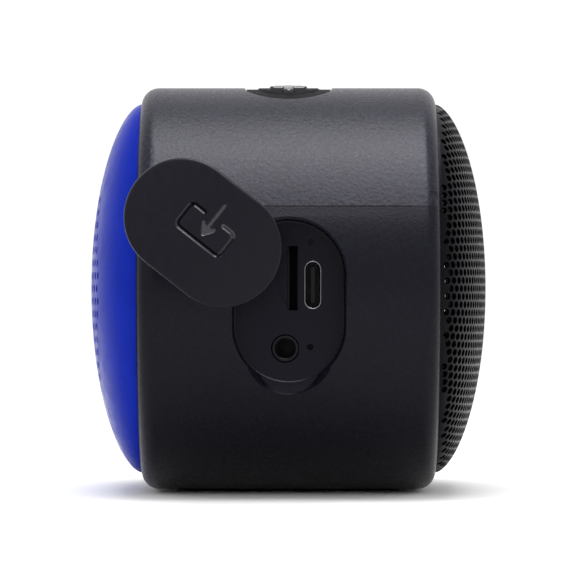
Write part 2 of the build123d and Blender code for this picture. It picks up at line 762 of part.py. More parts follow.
def card_socket():
    """The sheet-metal memory card socket on the front face of the board."""
    front = CARD_Y - CARD_SLOT_WIDE / 2 + 0.05
    half = CARD_SOCKET_LONG / 2
    back = BOARD_EDGE_X - CARD_SOCKET_DEPTH
    shell = block(back, BOARD_EDGE_X, front, BOARD_FRONT_Y, -half, half)
    hollow = block(back + 1, BOARD_EDGE_X + 1, front + 0.3, BOARD_FRONT_Y - 0.3,
                   -CARD_SLOT_LONG / 2, CARD_SLOT_LONG / 2)
    return Pos(0, 0, Z_MID + CARD_Z) * (shell - hollow)


def aux_jack():
    """The 3.5 mm socket: block on the board, collar through the floor, plug bore."""
    back = BOARD_EDGE_X - AUX_BODY_DEPTH
    half = AUX_BODY_HIGH / 2
    body = block(back, FLOOR_BACK_X - 0.1, AUX_Y - 2.5, BOARD_FRONT_Y, -half, half)
    body = Pos(0, 0, Z_MID + AUX_Z) * body
    body += end_rod(AUX_COLLAR_R, FLOOR_BACK_X - 0.2, FLOOR_X - 0.1, AUX_Y, AUX_Z)
    body -= end_rod(AUX_BORE_R, back + 1, FLOOR_X + 1, AUX_Y, AUX_Z)
    return chamfer(body.faces().sort_by(Axis.X)[-1].edges(), AUX_LIP)


def microphone():
    """The call microphone behind its pinhole."""
    return Pos(0, 0, Z_MID + MIC_Z) * block(BOARD_EDGE_X - 1.1, BOARD_EDGE_X,
                                            BOARD_BACK_Y, BOARD_BACK_Y + 2.2, -1.6, 1.6)


def status_led():
    """The side-view status lamp on the board's edge."""
    return Pos(0, LED_Y, Z_MID + LED_Z) * block(BOARD_EDGE_X - 1.2, BOARD_EDGE_X,
                                                BOARD_BACK_Y - LED_Y, 0.7, -0.8, 0.8)


def light_pipe():
    """The clear pin that brings the lamp's light to the recess floor."""
    pin = end_rod(LED_HOLE_R - 0.03, FLOOR_BACK_X, FLOOR_X - 0.1, LED_Y, LED_Z)
    return pin + end_rod(LED_HOLE_R + 0.35, FLOOR_BACK_X - 0.3, FLOOR_BACK_X, LED_Y, LED_Z)


def on_board(x0, x1, high, z0, z1):
    """A flat block on the board's front face, z measured from the middle of the casing."""
    return Pos(0, 0, Z_MID) * block(x0, x1, BOARD_FRONT_Y - high, BOARD_FRONT_Y, z0, z1)


def wireless_module():
    """The shielded radio module on the front face of the board."""
    return on_board(-24, -9, MODULE_HIGH, -12, 0)


def amplifier_chip():
    """The power amplifier on the front face of the board."""
    return on_board(12, 18, CHIP_HIGH, -15, -9)


def battery_cell():
    """A flat lithium cell behind the board."""
    front = BOARD_BACK_Y + CELL_FOAM
    cell = block(-CELL_LONG / 2, CELL_LONG / 2, front, front + CELL_DEEP,
                 -CELL_HIGH / 2, CELL_HIGH / 2)
    cell = fillet(cell.edges().filter_by(Axis.X), CELL_ROUND)
    return Pos(0, 0, Z_MID) * cell


def battery_foam():
    """The adhesive foam that holds the cell to the board."""
    return Pos(0, 0, Z_MID) * block(-FOAM_HALF_LENGTH, FOAM_HALF_LENGTH, BOARD_BACK_Y,
                                    BOARD_BACK_Y + CELL_FOAM, -FOAM_HALF_HEIGHT,
                                    FOAM_HALF_HEIGHT)


def lead(points, radii):
    """An insulated wire along straight runs joined by arcs."""
    route = FilletPolyline(*points, radius=radii)
    start = Plane(origin=route @ 0, z_dir=route % 0)
    return sweep(start * Circle(LEAD_R), path=route)


def speaker_leads():
    """Two wires from the driver's tags down to the board."""
    high = Z_MID + MAGNET_R + TAG_STRIP_WIDE / 2
    low = high - LEAD_DROP
    wires = []
    for x in (-TAG_X, TAG_X):
        side = x + LEAD_DROP / 2
        wires.append(lead([(x, -TAG_LOW, high), (x, -TAG_LOW / 2, high), (side, -1.5, low),
                           (side, BOARD_FRONT_Y, low)], LEAD_BEND))
    return groups(wires)


def battery_leads():
    """Two wires from the cell's edge round to the board."""
    wires = []
    edge = -CELL_LONG / 2
    out = edge - CELL_LEAD_REACH
    middle = BOARD_BACK_Y + CELL_FOAM + CELL_DEEP / 2
    for z in (Z_MID - CELL_LEAD_Z, Z_MID + CELL_LEAD_Z):
        wires.append(lead([(edge, middle, z), (out, middle, z), (out, BOARD_BACK_Y, z)],
                          CELL_LEAD_BEND))
    return groups(wires)


# ---------------------------------------------------------------- flap over the ports


def as_opened(solid):
    """Take a piece from its closed place to the open one."""
    return OPENED * solid.rotate(FLAP_AXIS, -FLAP_SWING)


def port_flap():
    """A curved rubber plate that follows the casing's end, with a socket for its tether."""
    out = BODY_HALF + 1
    plate = end_slot(FLAP_LONG, FLAP_WIDE, FLAP_BACK_X, out, RECESS_Y, RECESS_Z)
    plate = (plate & stadium_at(0)) - stadium_at(FLAP_WALL)
    face = plate.faces().sort_by(Axis.X)[-1]
    plate = fillet(face.edges(), FLAP_EDGE)
    boss = end_rod(TETHER_BOSS_R, FLAP_BACK_X, out, TETHER_Y, TETHER_Z)
    plate += (boss & stadium_at(FLAP_WALL - 0.5)) - stadium_at(TETHER_BOSS_INSET)
    bore = end_rod(TETHER_R + RUNNING, FLAP_BACK_X - 1, out, TETHER_Y, TETHER_Z)
    plate -= bore & stadium_at(TETHER_SOCKET_INSET)
    return as_opened(plate)


def flap_tether():
    """The rubber stem that the flap turns on, with a bead that keeps it in the casing."""
    tip = FLAP_STANDOFF + FLOOR_X + 3.3
    bead = FLOOR_BACK_X - TETHER_END - TETHER_BEAD
    stem = end_rod(TETHER_R, bead, tip, TETHER_Y, TETHER_Z)
    return stem + end_rod(TETHER_BEAD_R, bead, bead + TETHER_BEAD, TETHER_Y, TETHER_Z)


# ---------------------------------------------------------------- keypad


def key_places():
    """The four keys along the top, from the -X end."""
    return [KEY_PITCH * (n - 1.5) for n in range(4)]


def power_glyph():
    """A broken ring with an upright bar joined to it below."""
    outer = KEY_LONG / 2
    stroke = KEY_BAR * 0.75
    ring = Circle(outer) - Circle(outer - stroke)
    gap = Pos(0, outer) * Rectangle(2 * KEY_BAR, KEY_LONG)
    return (ring - gap) + Pos(0, stroke / 4) * SlotOverall(2 * outer - stroke / 2, stroke, 90)


def minus_glyph():
    """A single bar across the keypad."""
    return SlotOverall(KEY_LONG, KEY_BAR, 90)


def play_glyph():
    """A triangle and a bar against its point."""
    half = KEY_LONG / 2
    point = Polygon((-half, -half * 0.8), (half * 0.45, 0), (-half, half * 0.8), align=None)
    upright = Pos(half * 0.62, 0) * SlotOverall(KEY_LONG * 0.8, KEY_BAR * 0.8, 90)
    return point + upright + Rectangle(KEY_LONG * 0.7, KEY_BAR * 0.6)


def plus_glyph():
    """Two crossed bars."""
    return minus_glyph() + SlotOverall(KEY_LONG, KEY_BAR)


KEYS = {"power": power_glyph, "minus": minus_glyph, "play": play_glyph, "plus": plus_glyph}


def keypad_panel():
    """The rubber panel over the shoulders, with a raised island pierced for the keys."""
    over = Z_TOP + 2
    panel = slot_prism(PAD_LONG, PAD_WIDE, Z_MID, over) & stadium_at(PAD_FACE_INSET)
    panel += slot_prism(ISLAND_LONG, ISLAND_WIDE, Z_MID, over) & stadium_at(0)
    panel -= stadium_at(PAD_BACK_INSET)
    for x, glyph in zip(key_places(), KEYS.values()):
        panel -= Pos(x, 0, Z_MID) * extrude(offset(glyph(), KEY_GAP), over - Z_MID)
        relief = Pos(x, 0, 0) * tube(KEY_POST_R + KEY_GAP, 0, Z_MID, over)
        panel -= relief & stadium_at(KEY_POST_TOP_INSET - 0.1)
    return panel


def button(x, glyph):
    """A raised sign that follows the panel's curve, on a post that reaches its switch."""
    over = Z_TOP + 2
    solid = Pos(x, 0, Z_MID) * extrude(glyph(), over - Z_MID)
    solid = (solid & stadium_at(-KEY_PROUD)) - stadium_at(KEY_BACK_INSET)
    post = Pos(x, 0, 0) * tube(KEY_POST_R, 0, Z_TOP - KEY_POST_END, over)
    return solid + (post & stadium_at(KEY_POST_TOP_INSET))


def plunger(x):
    """The switch's plunger, against the end of the key's post."""
    return Pos(x, 0, 0) * tube(PLUNGER_R, 0, Z_TOP - PLUNGER_END, Z_TOP - KEY_POST_END)


def key_switches():
    """Four tact switches on the key board, each open above for its plunger."""
    switches = []
    for x in key_places():
        half = SWITCH_SIZE / 2
        body = block(x - half, x + half, -half, half, Z_TOP - KEY_BOARD_TOP, Z_TOP - SWITCH_TOP)
        bore = tube(SWITCH_BORE_R, 0, Z_TOP - SWITCH_BORE_END, Z_TOP)
        switches.append(body - Pos(x, 0, 0) * bore)
    return groups(switches)


def key_board():
    """The narrow board under the keypad."""
    top = Z_TOP - KEY_BOARD_TOP
    board = block(-KEY_BOARD_HALF_LENGTH, KEY_BOARD_HALF_LENGTH, -KEY_BOARD_HALF_WIDTH,
                  KEY_BOARD_HALF_WIDTH, top - KEY_BOARD_WALL, top)
    for side in (-1, 1):
        board -= Pos(side * KEY_BOSS_X, 0, 0) * tube(KEY_SCREW_HOLE_R, 0, top - 2, top + 1)
    return board


def key_board_screws():
    """Two small screws from below into the bosses."""
    low = Z_TOP - KEY_BOARD_TOP - KEY_BOARD_WALL
    screws = []
    for side in (-1, 1):
        body = tube(KEY_SCREW_R, 0, low, low + KEY_SCREW_LENGTH)
        body += tube(KEY_SCREW_HEAD_R, 0, low - KEY_SCREW_HEAD, low)
        screws.append(Pos(side * KEY_BOSS_X, 0, 0) * body)
    return groups(screws)


PIECES = {
    "casing_band": casing_band(),
    "foot_pad": foot_pad(),
    "front_cover": front_cover(),
    "rear_grille": rear_grille(),
    "front_cloth": dust_cloth(FRONT, COVER_WALL),
    "rear_cloth": dust_cloth(REAR, GRILLE_WALL),
    "front_gasket": cover_gasket(FRONT),
    "rear_gasket": cover_gasket(REAR),
    "front_baffle": front_baffle(),
    "front_baffle_screws": baffle_screws(FRONT),
    "rear_baffle_screws": baffle_screws(REAR),
    "driver_gasket": driver_gasket(),
    "driver_basket": driver_basket(),
    "driver_screws": driver_screws(),
    "driver_top_plate": driver_top_plate(),
    "driver_magnet": driver_magnet(),
    "driver_yoke": driver_yoke(),
    "voice_coil": voice_coil(),
    "driver_cone": driver_cone(),
    "dust_cap": dust_cap(),
    "driver_surround": driver_surround(),
    "driver_spider": driver_spider(),
    "driver_terminals": driver_terminals(),
    "rear_baffle": rear_baffle(),
    "radiator_frame": radiator_frame(),
    "radiator_surround": radiator_surround(),
    "radiator_plate": radiator_plate(),
    "radiator_weight": radiator_weight(),
    "main_board": main_board(),
    "board_screws": board_screws(),
    "usb_c_shell": usb_c_shell(),
    "usb_c_tongue": usb_c_tongue(),
    "card_socket": card_socket(),
    "aux_jack": aux_jack(),
    "microphone": microphone(),
    "status_led": status_led(),
    "light_pipe": light_pipe(),
    "wireless_module": wireless_module(),
    "amplifier_chip": amplifier_chip(),
    "battery_cell": battery_cell(),
    "battery_foam": battery_foam(),
    "speaker_leads": speaker_leads(),
    "battery_leads": battery_leads(),
    "port_flap": port_flap(),
    "flap_tether": flap_tether(),
    "keypad_panel": keypad_panel(),
    "key_switches": key_switches(),
    "key_board": key_board(),
    "key_board_screws": key_board_screws(),
}
for place, (sign, drawn) in zip(key_places(), KEYS.items()):
    PIECES[f"button_{sign}"] = button(place, drawn)
    PIECES[f"plunger_{sign}"] = plunger(place)

os.makedirs("parts", exist_ok=True)
for name, piece in PIECES.items():
    export_step(piece, f"parts/{name}.step")
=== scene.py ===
"""The looks of the compact portable speaker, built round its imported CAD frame.

Shapes are drawn in millimetres and turned to metres when a mesh is made. +X is the end with
the ports, -Y the coloured front cover, +Y the metal grille and +Z up.
"""

import json
import math

import bpy
import numpy as np
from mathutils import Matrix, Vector
from mathutils.geometry import delaunay_2d_cdt

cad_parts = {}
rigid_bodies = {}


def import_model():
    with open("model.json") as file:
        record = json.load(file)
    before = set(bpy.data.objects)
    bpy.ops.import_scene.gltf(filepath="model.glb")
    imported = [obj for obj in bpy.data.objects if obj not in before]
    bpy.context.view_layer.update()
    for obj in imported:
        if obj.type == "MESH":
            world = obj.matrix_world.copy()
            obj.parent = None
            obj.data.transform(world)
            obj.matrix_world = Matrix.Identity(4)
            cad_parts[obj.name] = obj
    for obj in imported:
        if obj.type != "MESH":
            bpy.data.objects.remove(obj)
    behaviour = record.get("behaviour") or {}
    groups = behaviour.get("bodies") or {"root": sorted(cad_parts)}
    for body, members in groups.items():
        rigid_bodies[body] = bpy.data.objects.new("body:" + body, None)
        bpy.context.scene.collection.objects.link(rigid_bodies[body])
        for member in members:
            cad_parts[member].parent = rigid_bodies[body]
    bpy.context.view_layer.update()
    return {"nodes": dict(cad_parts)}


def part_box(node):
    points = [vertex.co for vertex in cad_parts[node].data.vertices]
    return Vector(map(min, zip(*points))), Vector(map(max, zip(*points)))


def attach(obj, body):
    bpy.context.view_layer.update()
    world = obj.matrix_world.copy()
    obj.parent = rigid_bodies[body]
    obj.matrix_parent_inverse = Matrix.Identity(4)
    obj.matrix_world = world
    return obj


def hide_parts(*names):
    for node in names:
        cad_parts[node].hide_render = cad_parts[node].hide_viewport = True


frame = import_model()
NODES = frame["nodes"]
MM = 0.001


# ---------------------------------------------------------------- sizes, from the frame

def box_mm(node):
    """A node's lowest and highest corners, in millimetres."""
    low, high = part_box(node)
    return np.array(low) / MM, np.array(high) / MM


CASING_LOW, CASING_HIGH = box_mm("casing_band")
COVER_LOW, COVER_HIGH = box_mm("front_cover")
R_BODY = (CASING_HIGH[2] - CASING_LOW[2]) / 2
BODY_HALF = CASING_HIGH[0]
FLAT_HALF = BODY_HALF - R_BODY
Z_MID = (CASING_HIGH[2] + CASING_LOW[2]) / 2
Z_TOP = CASING_HIGH[2]
CASING_HALF_DEPTH = 28.1
RIM_R = COVER_HIGH[2] - Z_MID
CROWN = -COVER_LOW[1] - CASING_HALF_DEPTH
SKIRT = 2.0
DOME_POWER = 0.58

RECESS_Y = 0.1
RECESS_Z = -2.4
FLOOR_X = BODY_HALF - 6.0
RECESS_REACH = 17.8
GROOVE_Z = Z_MID + 15.2


# ---------------------------------------------------------------- meshes

def make_piece(name, points, faces, body, nodes=(), material=None, sharp=35):
    """A piece from points in millimetres: shaded smooth up to an angle, riding on a body."""
    mesh = bpy.data.meshes.new(name)
    mesh.from_pydata([Vector(p) * MM for p in points], [], [list(f) for f in faces])
    mesh.validate()
    mesh.update()
    mesh.shade_smooth()
    mesh.set_sharp_from_angle(angle=math.radians(sharp))
    piece = bpy.data.objects.new(name, mesh)
    bpy.context.scene.collection.objects.link(piece)
    mesh.materials.append(material)
    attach(piece, body)
    if nodes:
        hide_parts(*nodes)
    return piece


def resampled(loop, step):
    """A closed loop with evenly spaced points."""
    closed = np.vstack([loop, loop[:1]])
    lengths = np.r_[0, np.cumsum(np.linalg.norm(np.diff(closed, axis=0), axis=1))]
    count = max(8, int(round(lengths[-1] / step)))
    at = np.linspace(0, lengths[-1], count, endpoint=False)
    return np.column_stack([np.interp(at, lengths, closed[:, k]) for k in (0, 1)])


def stadium_loop(long, wide, step, centre=(0, 0), upright=False):
    """A stadium outline, counterclockwise, lying along the first axis or upright."""
    r = wide / 2
    half = long / 2 - r
    turns = np.linspace(-math.pi / 2, math.pi / 2, 61)
    right = np.column_stack([half + r * np.cos(turns), r * np.sin(turns)])
    loop = resampled(np.vstack([right, -right]), step)
    if upright:
        loop = np.column_stack([-loop[:, 1], loop[:, 0]])
    return loop + np.array(centre)


def circle_loop(radius, count, centre=(0, 0)):
    """A round outline, counterclockwise."""
    turns = np.linspace(0, 2 * math.pi, count, endpoint=False)
    return np.column_stack([np.cos(turns), np.sin(turns)]) * radius + np.array(centre)


def edge_distance(points, loops):
    """The distance from each point to the nearest outline."""
    best = np.full(len(points), 1e9)
    for loop in loops:
        ends = np.roll(loop, -1, axis=0)
        runs = ends - loop
        squares = np.maximum((runs ** 2).sum(1), 1e-12)
        for low in range(0, len(points), 4000):
            part = points[low:low + 4000]
            gap = part[:, None, :] - loop[None]
            share = np.clip((gap * runs).sum(2) / squares, 0, 1)
            gap -= share[..., None] * runs
            nearest = np.sqrt((gap ** 2).sum(2)).min(1)
            best[low:low + 4000] = np.minimum(best[low:low + 4000], nearest)
    return best


def inside(points, loop):
    """Which points lie within an outline."""
    x, y = points[:, 0, None], points[:, 1, None]
    ends = np.roll(loop, -1, axis=0)
    crosses = (loop[:, 1] > y) != (ends[:, 1] > y)
    rise = np.where(ends[:, 1] == loop[:, 1], 1e-12, ends[:, 1] - loop[:, 1])
    at = loop[:, 0] + (y - loop[:, 1]) * (ends[:, 0] - loop[:, 0]) / rise
    return (crosses & (x < at)).sum(1) % 2 == 1


def grid(low, high, step):
    """Staggered free points over a rectangle."""
    rows = np.arange(low[1], high[1], step * 0.866)
    points = []
    for n, row in enumerate(rows):
        across = np.arange(low[0] + (n % 2) * step / 2, high[0], step)
        points.append(np.column_stack([across, np.full(len(across), row)]))
    return np.vstack(points)


def triangulated(loops, free):
    """Points and triangles over a flat region with fixed outlines and free points between."""
    points = np.vstack(list(loops) + [free]) if len(free) else np.vstack(list(loops))
    edges = []
    owner = np.full(len(points), -1)
    start = 0
    for n, loop in enumerate(loops):
        count = len(loop)
        edges += [(start + k, start + (k + 1) % count) for k in range(count)]
        owner[start:start + count] = n
        start += count
    result = delaunay_2d_cdt([Vector(p) for p in points], edges, [], 0, 1e-7)
    if len(result[0]) != len(points):
        raise ValueError("two points of a sheet fall together")
    return points, np.array(result[2]), owner


def offset_rings(loops, insets):
    """Free points along each outline, moved into the sheet by each of several insets."""
    rings = []
    for n, loop in enumerate(loops):
        along = np.roll(loop, -1, axis=0) - np.roll(loop, 1, axis=0)
        along /= np.linalg.norm(along, axis=1)[:, None]
        inward = np.column_stack([-along[:, 1], along[:, 0]]) * (1 if n == 0 else -1)
        for inset in insets:
            ring = loop + inward * inset
            rings.append(ring[edge_distance(ring, loops) > inset * 0.97])
    return np.vstack(rings)


def slab(loops, top, bottom, edge, step, free=()):
    """A closed plate with a rounded upper rim: outline first, then the outlines of its holes.

    top and bottom give the heights of its two faces over the plane. Outlines run
    counterclockwise. Returns points (a, b, height) and faces.
    """
    outline = loops[0]
    rings = offset_rings(loops, [edge * s for s in (0.12, 0.35, 0.65, 1.0)])
    mesh_grid = grid(outline.min(0), outline.max(0), step)
    extra = [mesh_grid] + [np.asarray(f) for f in free if len(f)]
    between = np.vstack(extra)
    keep = inside(between, outline)
    for hole in loops[1:]:
        keep &= ~inside(between, hole)
    between = between[keep]
    between = between[edge_distance(between, loops) > edge * 1.25]
    points, tris, owner = triangulated(loops, np.vstack([rings, between]))
    middles = points[tris].mean(1)
    keep = inside(middles, outline)
    for hole in loops[1:]:
        keep &= ~inside(middles, hole)
    tris = tris[keep]
    depth = np.minimum(edge_distance(points, loops), edge)
    fall = edge - np.sqrt(np.maximum(edge ** 2 - (edge - depth) ** 2, 0))
    upper = top(points[:, 0], points[:, 1]) - fall
    lower = bottom(points[:, 0], points[:, 1])
    count = len(points)
    coords = np.vstack([np.column_stack([points, upper]), np.column_stack([points, lower])])
    faces = [tuple(t) for t in tris] + [tuple(t[::-1] + count) for t in tris]
    start = 0
    for n, loop in enumerate(loops):
        size = len(loop)
        for k in range(size):
            a, b = start + k, start + (k + 1) % size
            wall = (b, a, a + count, b + count)
            faces.append(wall if n == 0 else wall[::-1])
        start += size
    return coords, faces


def lathe(profile, count=48):
    """A closed ring or rod turned about the height axis, from an outline of (r, height)."""
    points, faces = [], []
    size = len(profile)
    for k in range(count):
        turn = 2 * math.pi * k / count
        points += [(r * math.cos(turn), r * math.sin(turn), h) for r, h in profile]
    for k in range(count):
        a, b = k * size, (k + 1) % count * size
        for n in range(size):
            m = (n + 1) % size
            if n == size - 1 and profile[0][0] == 0 and profile[-1][0] == 0:
                continue
            faces.append((a + n, b + n, b + m, a + m))
    return weld(np.array(points), faces)


def weld(points, faces):
    """Merge points that fall together, such as those on a lathe's axis."""
    keys = {}
    index = []
    kept = []
    for p in points:
        key = tuple(round(float(v), 5) for v in p)
        if key not in keys:
            keys[key] = len(kept)
            kept.append(p)
        index.append(keys[key])
    clean = []
    for face in faces:
        ring = []
        for v in face:
            if index[v] not in ring:
                ring.append(index[v])
        if len(ring) > 2:
            clean.append(tuple(ring))
    return np.array(kept), clean


def joined(*parts):
    """Several closed shells as one mesh."""
    points, faces = [], []
    start = 0
    for part_points, part_faces in parts:
        points.append(np.asarray(part_points))
        faces += [tuple(v + start for v in f) for f in part_faces]
        start += len(part_points)
    return np.vstack(points), faces


# ---------------------------------------------------------------- outlines from distances

def segment_distance(x, y, a, b):
    """The distance from points to a straight stroke."""
    run = np.array(b, float) - np.array(a, float)
    share = ((x - a[0]) * run[0] + (y - a[1]) * run[1]) / max(run @ run, 1e-12)
    share = np.clip(share, 0, 1)
    return np.hypot(x - a[0] - share * run[0], y - a[1] - share * run[1])


def bar(x, y, long, wide, upright, centre=(0, 0)):
    """Signed distance to a stroke with round ends."""
    half = long / 2 - wide / 2
    reach = (0, half) if upright else (half, 0)
    start = (centre[0] - reach[0], centre[1] - reach[1])
    end = (centre[0] + reach[0], centre[1] + reach[1])
    return segment_distance(x, y, start, end) - wide / 2


def contour(shape, half, step, spacing):
    """The outline of a shape given by signed distance, traced on a grid and evened out."""
    ticks = np.arange(-half, half + step, step)
    x, y = np.meshgrid(ticks, ticks, indexing="ij")
    values = shape(x, y)
    links = {}

    def crossing(a, b):
        """The point where the outline crosses a grid line."""
        va, vb = values[a], values[b]
        share = va / (va - vb)
        key = (a, b) if a < b else (b, a)
        pa = np.array([ticks[a[0]], ticks[a[1]]])
        pb = np.array([ticks[b[0]], ticks[b[1]]])
        return key, pa + (pb - pa) * share

    places = {}
    rows, columns = np.nonzero(np.abs(values[:-1, :-1]) < 2 * step)
    for i, j in zip(rows.tolist(), columns.tolist()):
        corners = [(i, j), (i + 1, j), (i + 1, j + 1), (i, j + 1)]
        signs = [values[c] < 0 for c in corners]
        leaving, arriving = [], []
        for k in range(4):
            a, b = corners[k], corners[(k + 1) % 4]
            if signs[k] != signs[(k + 1) % 4]:
                key, place = crossing(a, b)
                places[key] = place
                (leaving if signs[k] else arriving).append(key)
        for out, back in zip(leaving, arriving):
            links[out] = back
    key = next(iter(links))
    loop = []
    first = key
    while True:
        loop.append(places[key])
        key = links[key]
        if key == first:
            break
    loop = np.array(loop)
    nearby = np.roll(loop, -1, axis=0)
    area = (loop[:, 0] * nearby[:, 1] - nearby[:, 0] * loop[:, 1]).sum()
    if area < 0:
        loop = loop[::-1]
    return resampled(loop, spacing)


# ---------------------------------------------------------------- materials

def new_material(name):
    """An empty node material with its shader."""
    material = bpy.data.materials.new(name)
    material.use_nodes = True
    return material, material.node_tree, material.node_tree.nodes["Principled BSDF"]


class Recipe:
    """Small helpers that add nodes to one material."""

    def __init__(self, name, roughness=0.5, metallic=0.0, ior=1.45, specular=0.5, coat=0.0,
                 coat_roughness=0.1, sheen=0.0, cool=False):
        self.material, self.tree, self.shader = new_material(name)
        self.set("Roughness", roughness)
        self.set("Metallic", metallic)
        self.set("IOR", ior)
        self.set("Specular IOR Level", specular)
        self.set("Coat Weight", coat)
        self.set("Coat Roughness", coat_roughness)
        self.set("Sheen Weight", sheen)
        if cool:
            self.set("Specular Tint", (0.93, 0.91, 1.0, 1.0))
        coords = self.tree.nodes.new("ShaderNodeTexCoord")
        self.where = coords.outputs["Object"]

    def set(self, socket, value):
        """Set a constant on the shader."""
        self.shader.inputs[socket].default_value = value

    def node(self, kind, **inputs):
        """A node with its sockets set or linked."""
        node = self.tree.nodes.new(kind)
        for name, value in inputs.items():
            socket = node.inputs[name.replace("_", " ")]
            if isinstance(value, bpy.types.NodeSocket):
                self.tree.links.new(value, socket)
            else:
                socket.default_value = value
        return node

    def stretched(self, scale):
        """The coordinates scaled differently along each axis."""
        node = self.node("ShaderNodeMapping", Vector=self.where)
        node.inputs["Scale"].default_value = scale
        return node.outputs["Vector"]

    def noise(self, size_mm, detail=2.0, vector=None):
        """Soft noise whose features are about this many millimetres."""
        node = self.node("ShaderNodeTexNoise", Vector=vector or self.where,
                         Scale=1 / (size_mm * MM), Detail=detail)
        return node.outputs["Fac"]

    def cells(self, size_mm, feature="SMOOTH_F1", vector=None):
        """Rounded cells of this size."""
        node = self.node("ShaderNodeTexVoronoi", Vector=vector or self.where,
                         Scale=1 / (size_mm * MM))
        node.feature = feature
        return node.outputs["Distance"]

    def ranged(self, fac, low, high, from_low=0.3, from_high=0.7):
        """A factor stretched to another range."""
        node = self.node("ShaderNodeMapRange", Value=fac)
        node.inputs["From Min"].default_value = from_low
        node.inputs["From Max"].default_value = from_high
        node.inputs["To Min"].default_value = low
        node.inputs["To Max"].default_value = high
        return node.outputs["Result"]

    def mixed(self, fac, a, b):
        """Two colours mixed."""
        node = self.tree.nodes.new("ShaderNodeMix")
        node.data_type = "RGBA"
        for socket, value in zip((node.inputs[0], node.inputs[6], node.inputs[7]), (fac, a, b)):
            if isinstance(value, bpy.types.NodeSocket):
                self.tree.links.new(value, socket)
            else:
                socket.default_value = value
        return node.outputs[2]

    def math(self, operation, a, b):
        """Two factors combined."""
        node = self.tree.nodes.new("ShaderNodeMath")
        node.operation = operation
        for socket, value in zip(node.inputs, (a, b)):
            if isinstance(value, bpy.types.NodeSocket):
                self.tree.links.new(value, socket)
            else:
                socket.default_value = value
        return node.outputs[0]

    def axis(self, letter):
        """One coordinate."""
        node = self.node("ShaderNodeSeparateXYZ", Vector=self.where)
        return node.outputs[letter]

    def link(self, output, socket):
        """Drive a socket of the shader."""
        self.tree.links.new(output, self.shader.inputs[socket])

    def bump(self, height, depth_mm, strength=1.0, normal=None):
        """Relief of this depth; returns its normal."""
        node = self.node("ShaderNodeBump", Height=height)
        node.inputs["Strength"].default_value = strength
        node.inputs["Distance"].default_value = depth_mm * MM
        if normal is not None:
            self.tree.links.new(normal, node.inputs["Normal"])
        return node.outputs["Normal"]


def rgb(code):
    """A linear colour from its usual hexadecimal code."""
    parts = [int(code[n:n + 2], 16) / 255 for n in (0, 2, 4)]
    return tuple(p / 12.92 if p < 0.04045 else ((p + 0.055) / 1.055) ** 2.4 for p in parts) + (1,)


def shade(colour, factor):
    """A colour made lighter or darker."""
    return tuple(c * factor for c in colour[:3]) + (1,)


def plain(name, code, roughness, grain=0.25, depth=0.01, spread=0.12, blotch=3.0, **shader):
    """A moulded or rolled surface: slight colour blotches, uneven gloss and a fine grain."""
    recipe = Recipe(name, roughness=roughness, **shader)
    base = rgb(code)
    blotches = recipe.ranged(recipe.noise(blotch, 3.0), 0, 1)
    recipe.link(recipe.mixed(blotches, shade(base, 1 - spread), shade(base, 1 + spread)),
                "Base Color")
    uneven = recipe.ranged(recipe.noise(blotch * 0.6, 4.0), max(roughness - 0.06, 0.02),
                           min(roughness + 0.08, 1))
    recipe.link(uneven, "Roughness")
    recipe.link(recipe.bump(recipe.noise(grain, 3.0), depth), "Normal")
    return recipe


def casing_material():
    """Soft-touch black plastic: leathery grain above the parting line, finer below; the base is
    lighter above the line, partly its own tone and partly painted light, and near-black in the port
    recess as painted shade.
    """
    recipe = Recipe("casing_plastic_finish", roughness=0.3, specular=0.14, cool=True)
    above = recipe.ranged(recipe.axis("Z"), 0, 1, (GROOVE_Z - 0.05) * MM, (GROOVE_Z + 0.05) * MM)
    off_floor = recipe.ranged(recipe.axis("X"), 0, 1, (FLOOR_X + 0.9) * MM, (FLOOR_X + 1.4) * MM)
    height = recipe.math("SUBTRACT", recipe.axis("Z"), Z_MID * MM)
    rise = recipe.math("ABSOLUTE", height, 0.0)
    beyond = recipe.ranged(rise, 0, 1, RECESS_REACH * MM, (RECESS_REACH + 0.3) * MM)
    outside = recipe.math("MAXIMUM", off_floor, beyond)
    blotches = recipe.ranged(recipe.noise(0.7, 4.0), 0, 1)
    # a darker base below the parting line and a lighter one above it: partly the upper surface's own
    # tone, partly painted light falling from above
    dark = recipe.mixed(blotches, rgb("07070c"), rgb("0c0c14"))
    light = recipe.mixed(blotches, rgb("0b0b11"), rgb("1a1a24"))
    moulded_tone_and_painted_light = recipe.mixed(above, dark, light)
    # where X is short of the recess floor's edge and Z lies within the recess's reach, the base is
    # near-black with no grain: painted shade in the port recess (the mask tests only X and Z, so the
    # middle of the far end is darkened too)
    recipe.link(recipe.mixed(outside, rgb("05050d"), moulded_tone_and_painted_light), "Base Color")
    rough = recipe.ranged(recipe.noise(0.5, 4.0), 0.24, 0.38)
    recipe.link(rough, "Roughness")
    coarse = recipe.math("ADD", recipe.cells(0.75), recipe.noise(0.3, 4.0))
    fine = recipe.math("ADD", recipe.math("MULTIPLY", recipe.cells(0.45), 0.35),
                       recipe.math("MULTIPLY", recipe.noise(0.25, 3.0), 0.5))
    mix = recipe.node("ShaderNodeMix", Factor=above, A=fine, B=coarse)
    height = recipe.math("MULTIPLY", mix.outputs[0], outside)
    recipe.link(recipe.bump(height, 0.045), "Normal")
    return recipe.material


def cover_material():
    """Satin blue plastic with a faint moulded grain."""
    recipe = plain("cover_plastic_finish", "132692", 0.22, grain=0.35, depth=0.003, spread=0.06,
                   blotch=6.0, specular=0.012)
    return recipe.material


def grille_material():
    """Black powder-coated steel."""
    recipe = plain("grille_metal_finish", "050508", 0.34, grain=0.18, depth=0.008, spread=0.15,
                   blotch=2.0, specular=0.1, cool=True)
    return recipe.material


def rubber_material(name, code, roughness=0.55, depth=0.012, specular=0.15):
    """Moulded silicone rubber, matt with a fine eroded texture and a little dust."""
    recipe = plain(name, code, roughness, grain=0.16, depth=depth, spread=0.12, blotch=1.6,
                   specular=specular, cool=True)
    return recipe.material


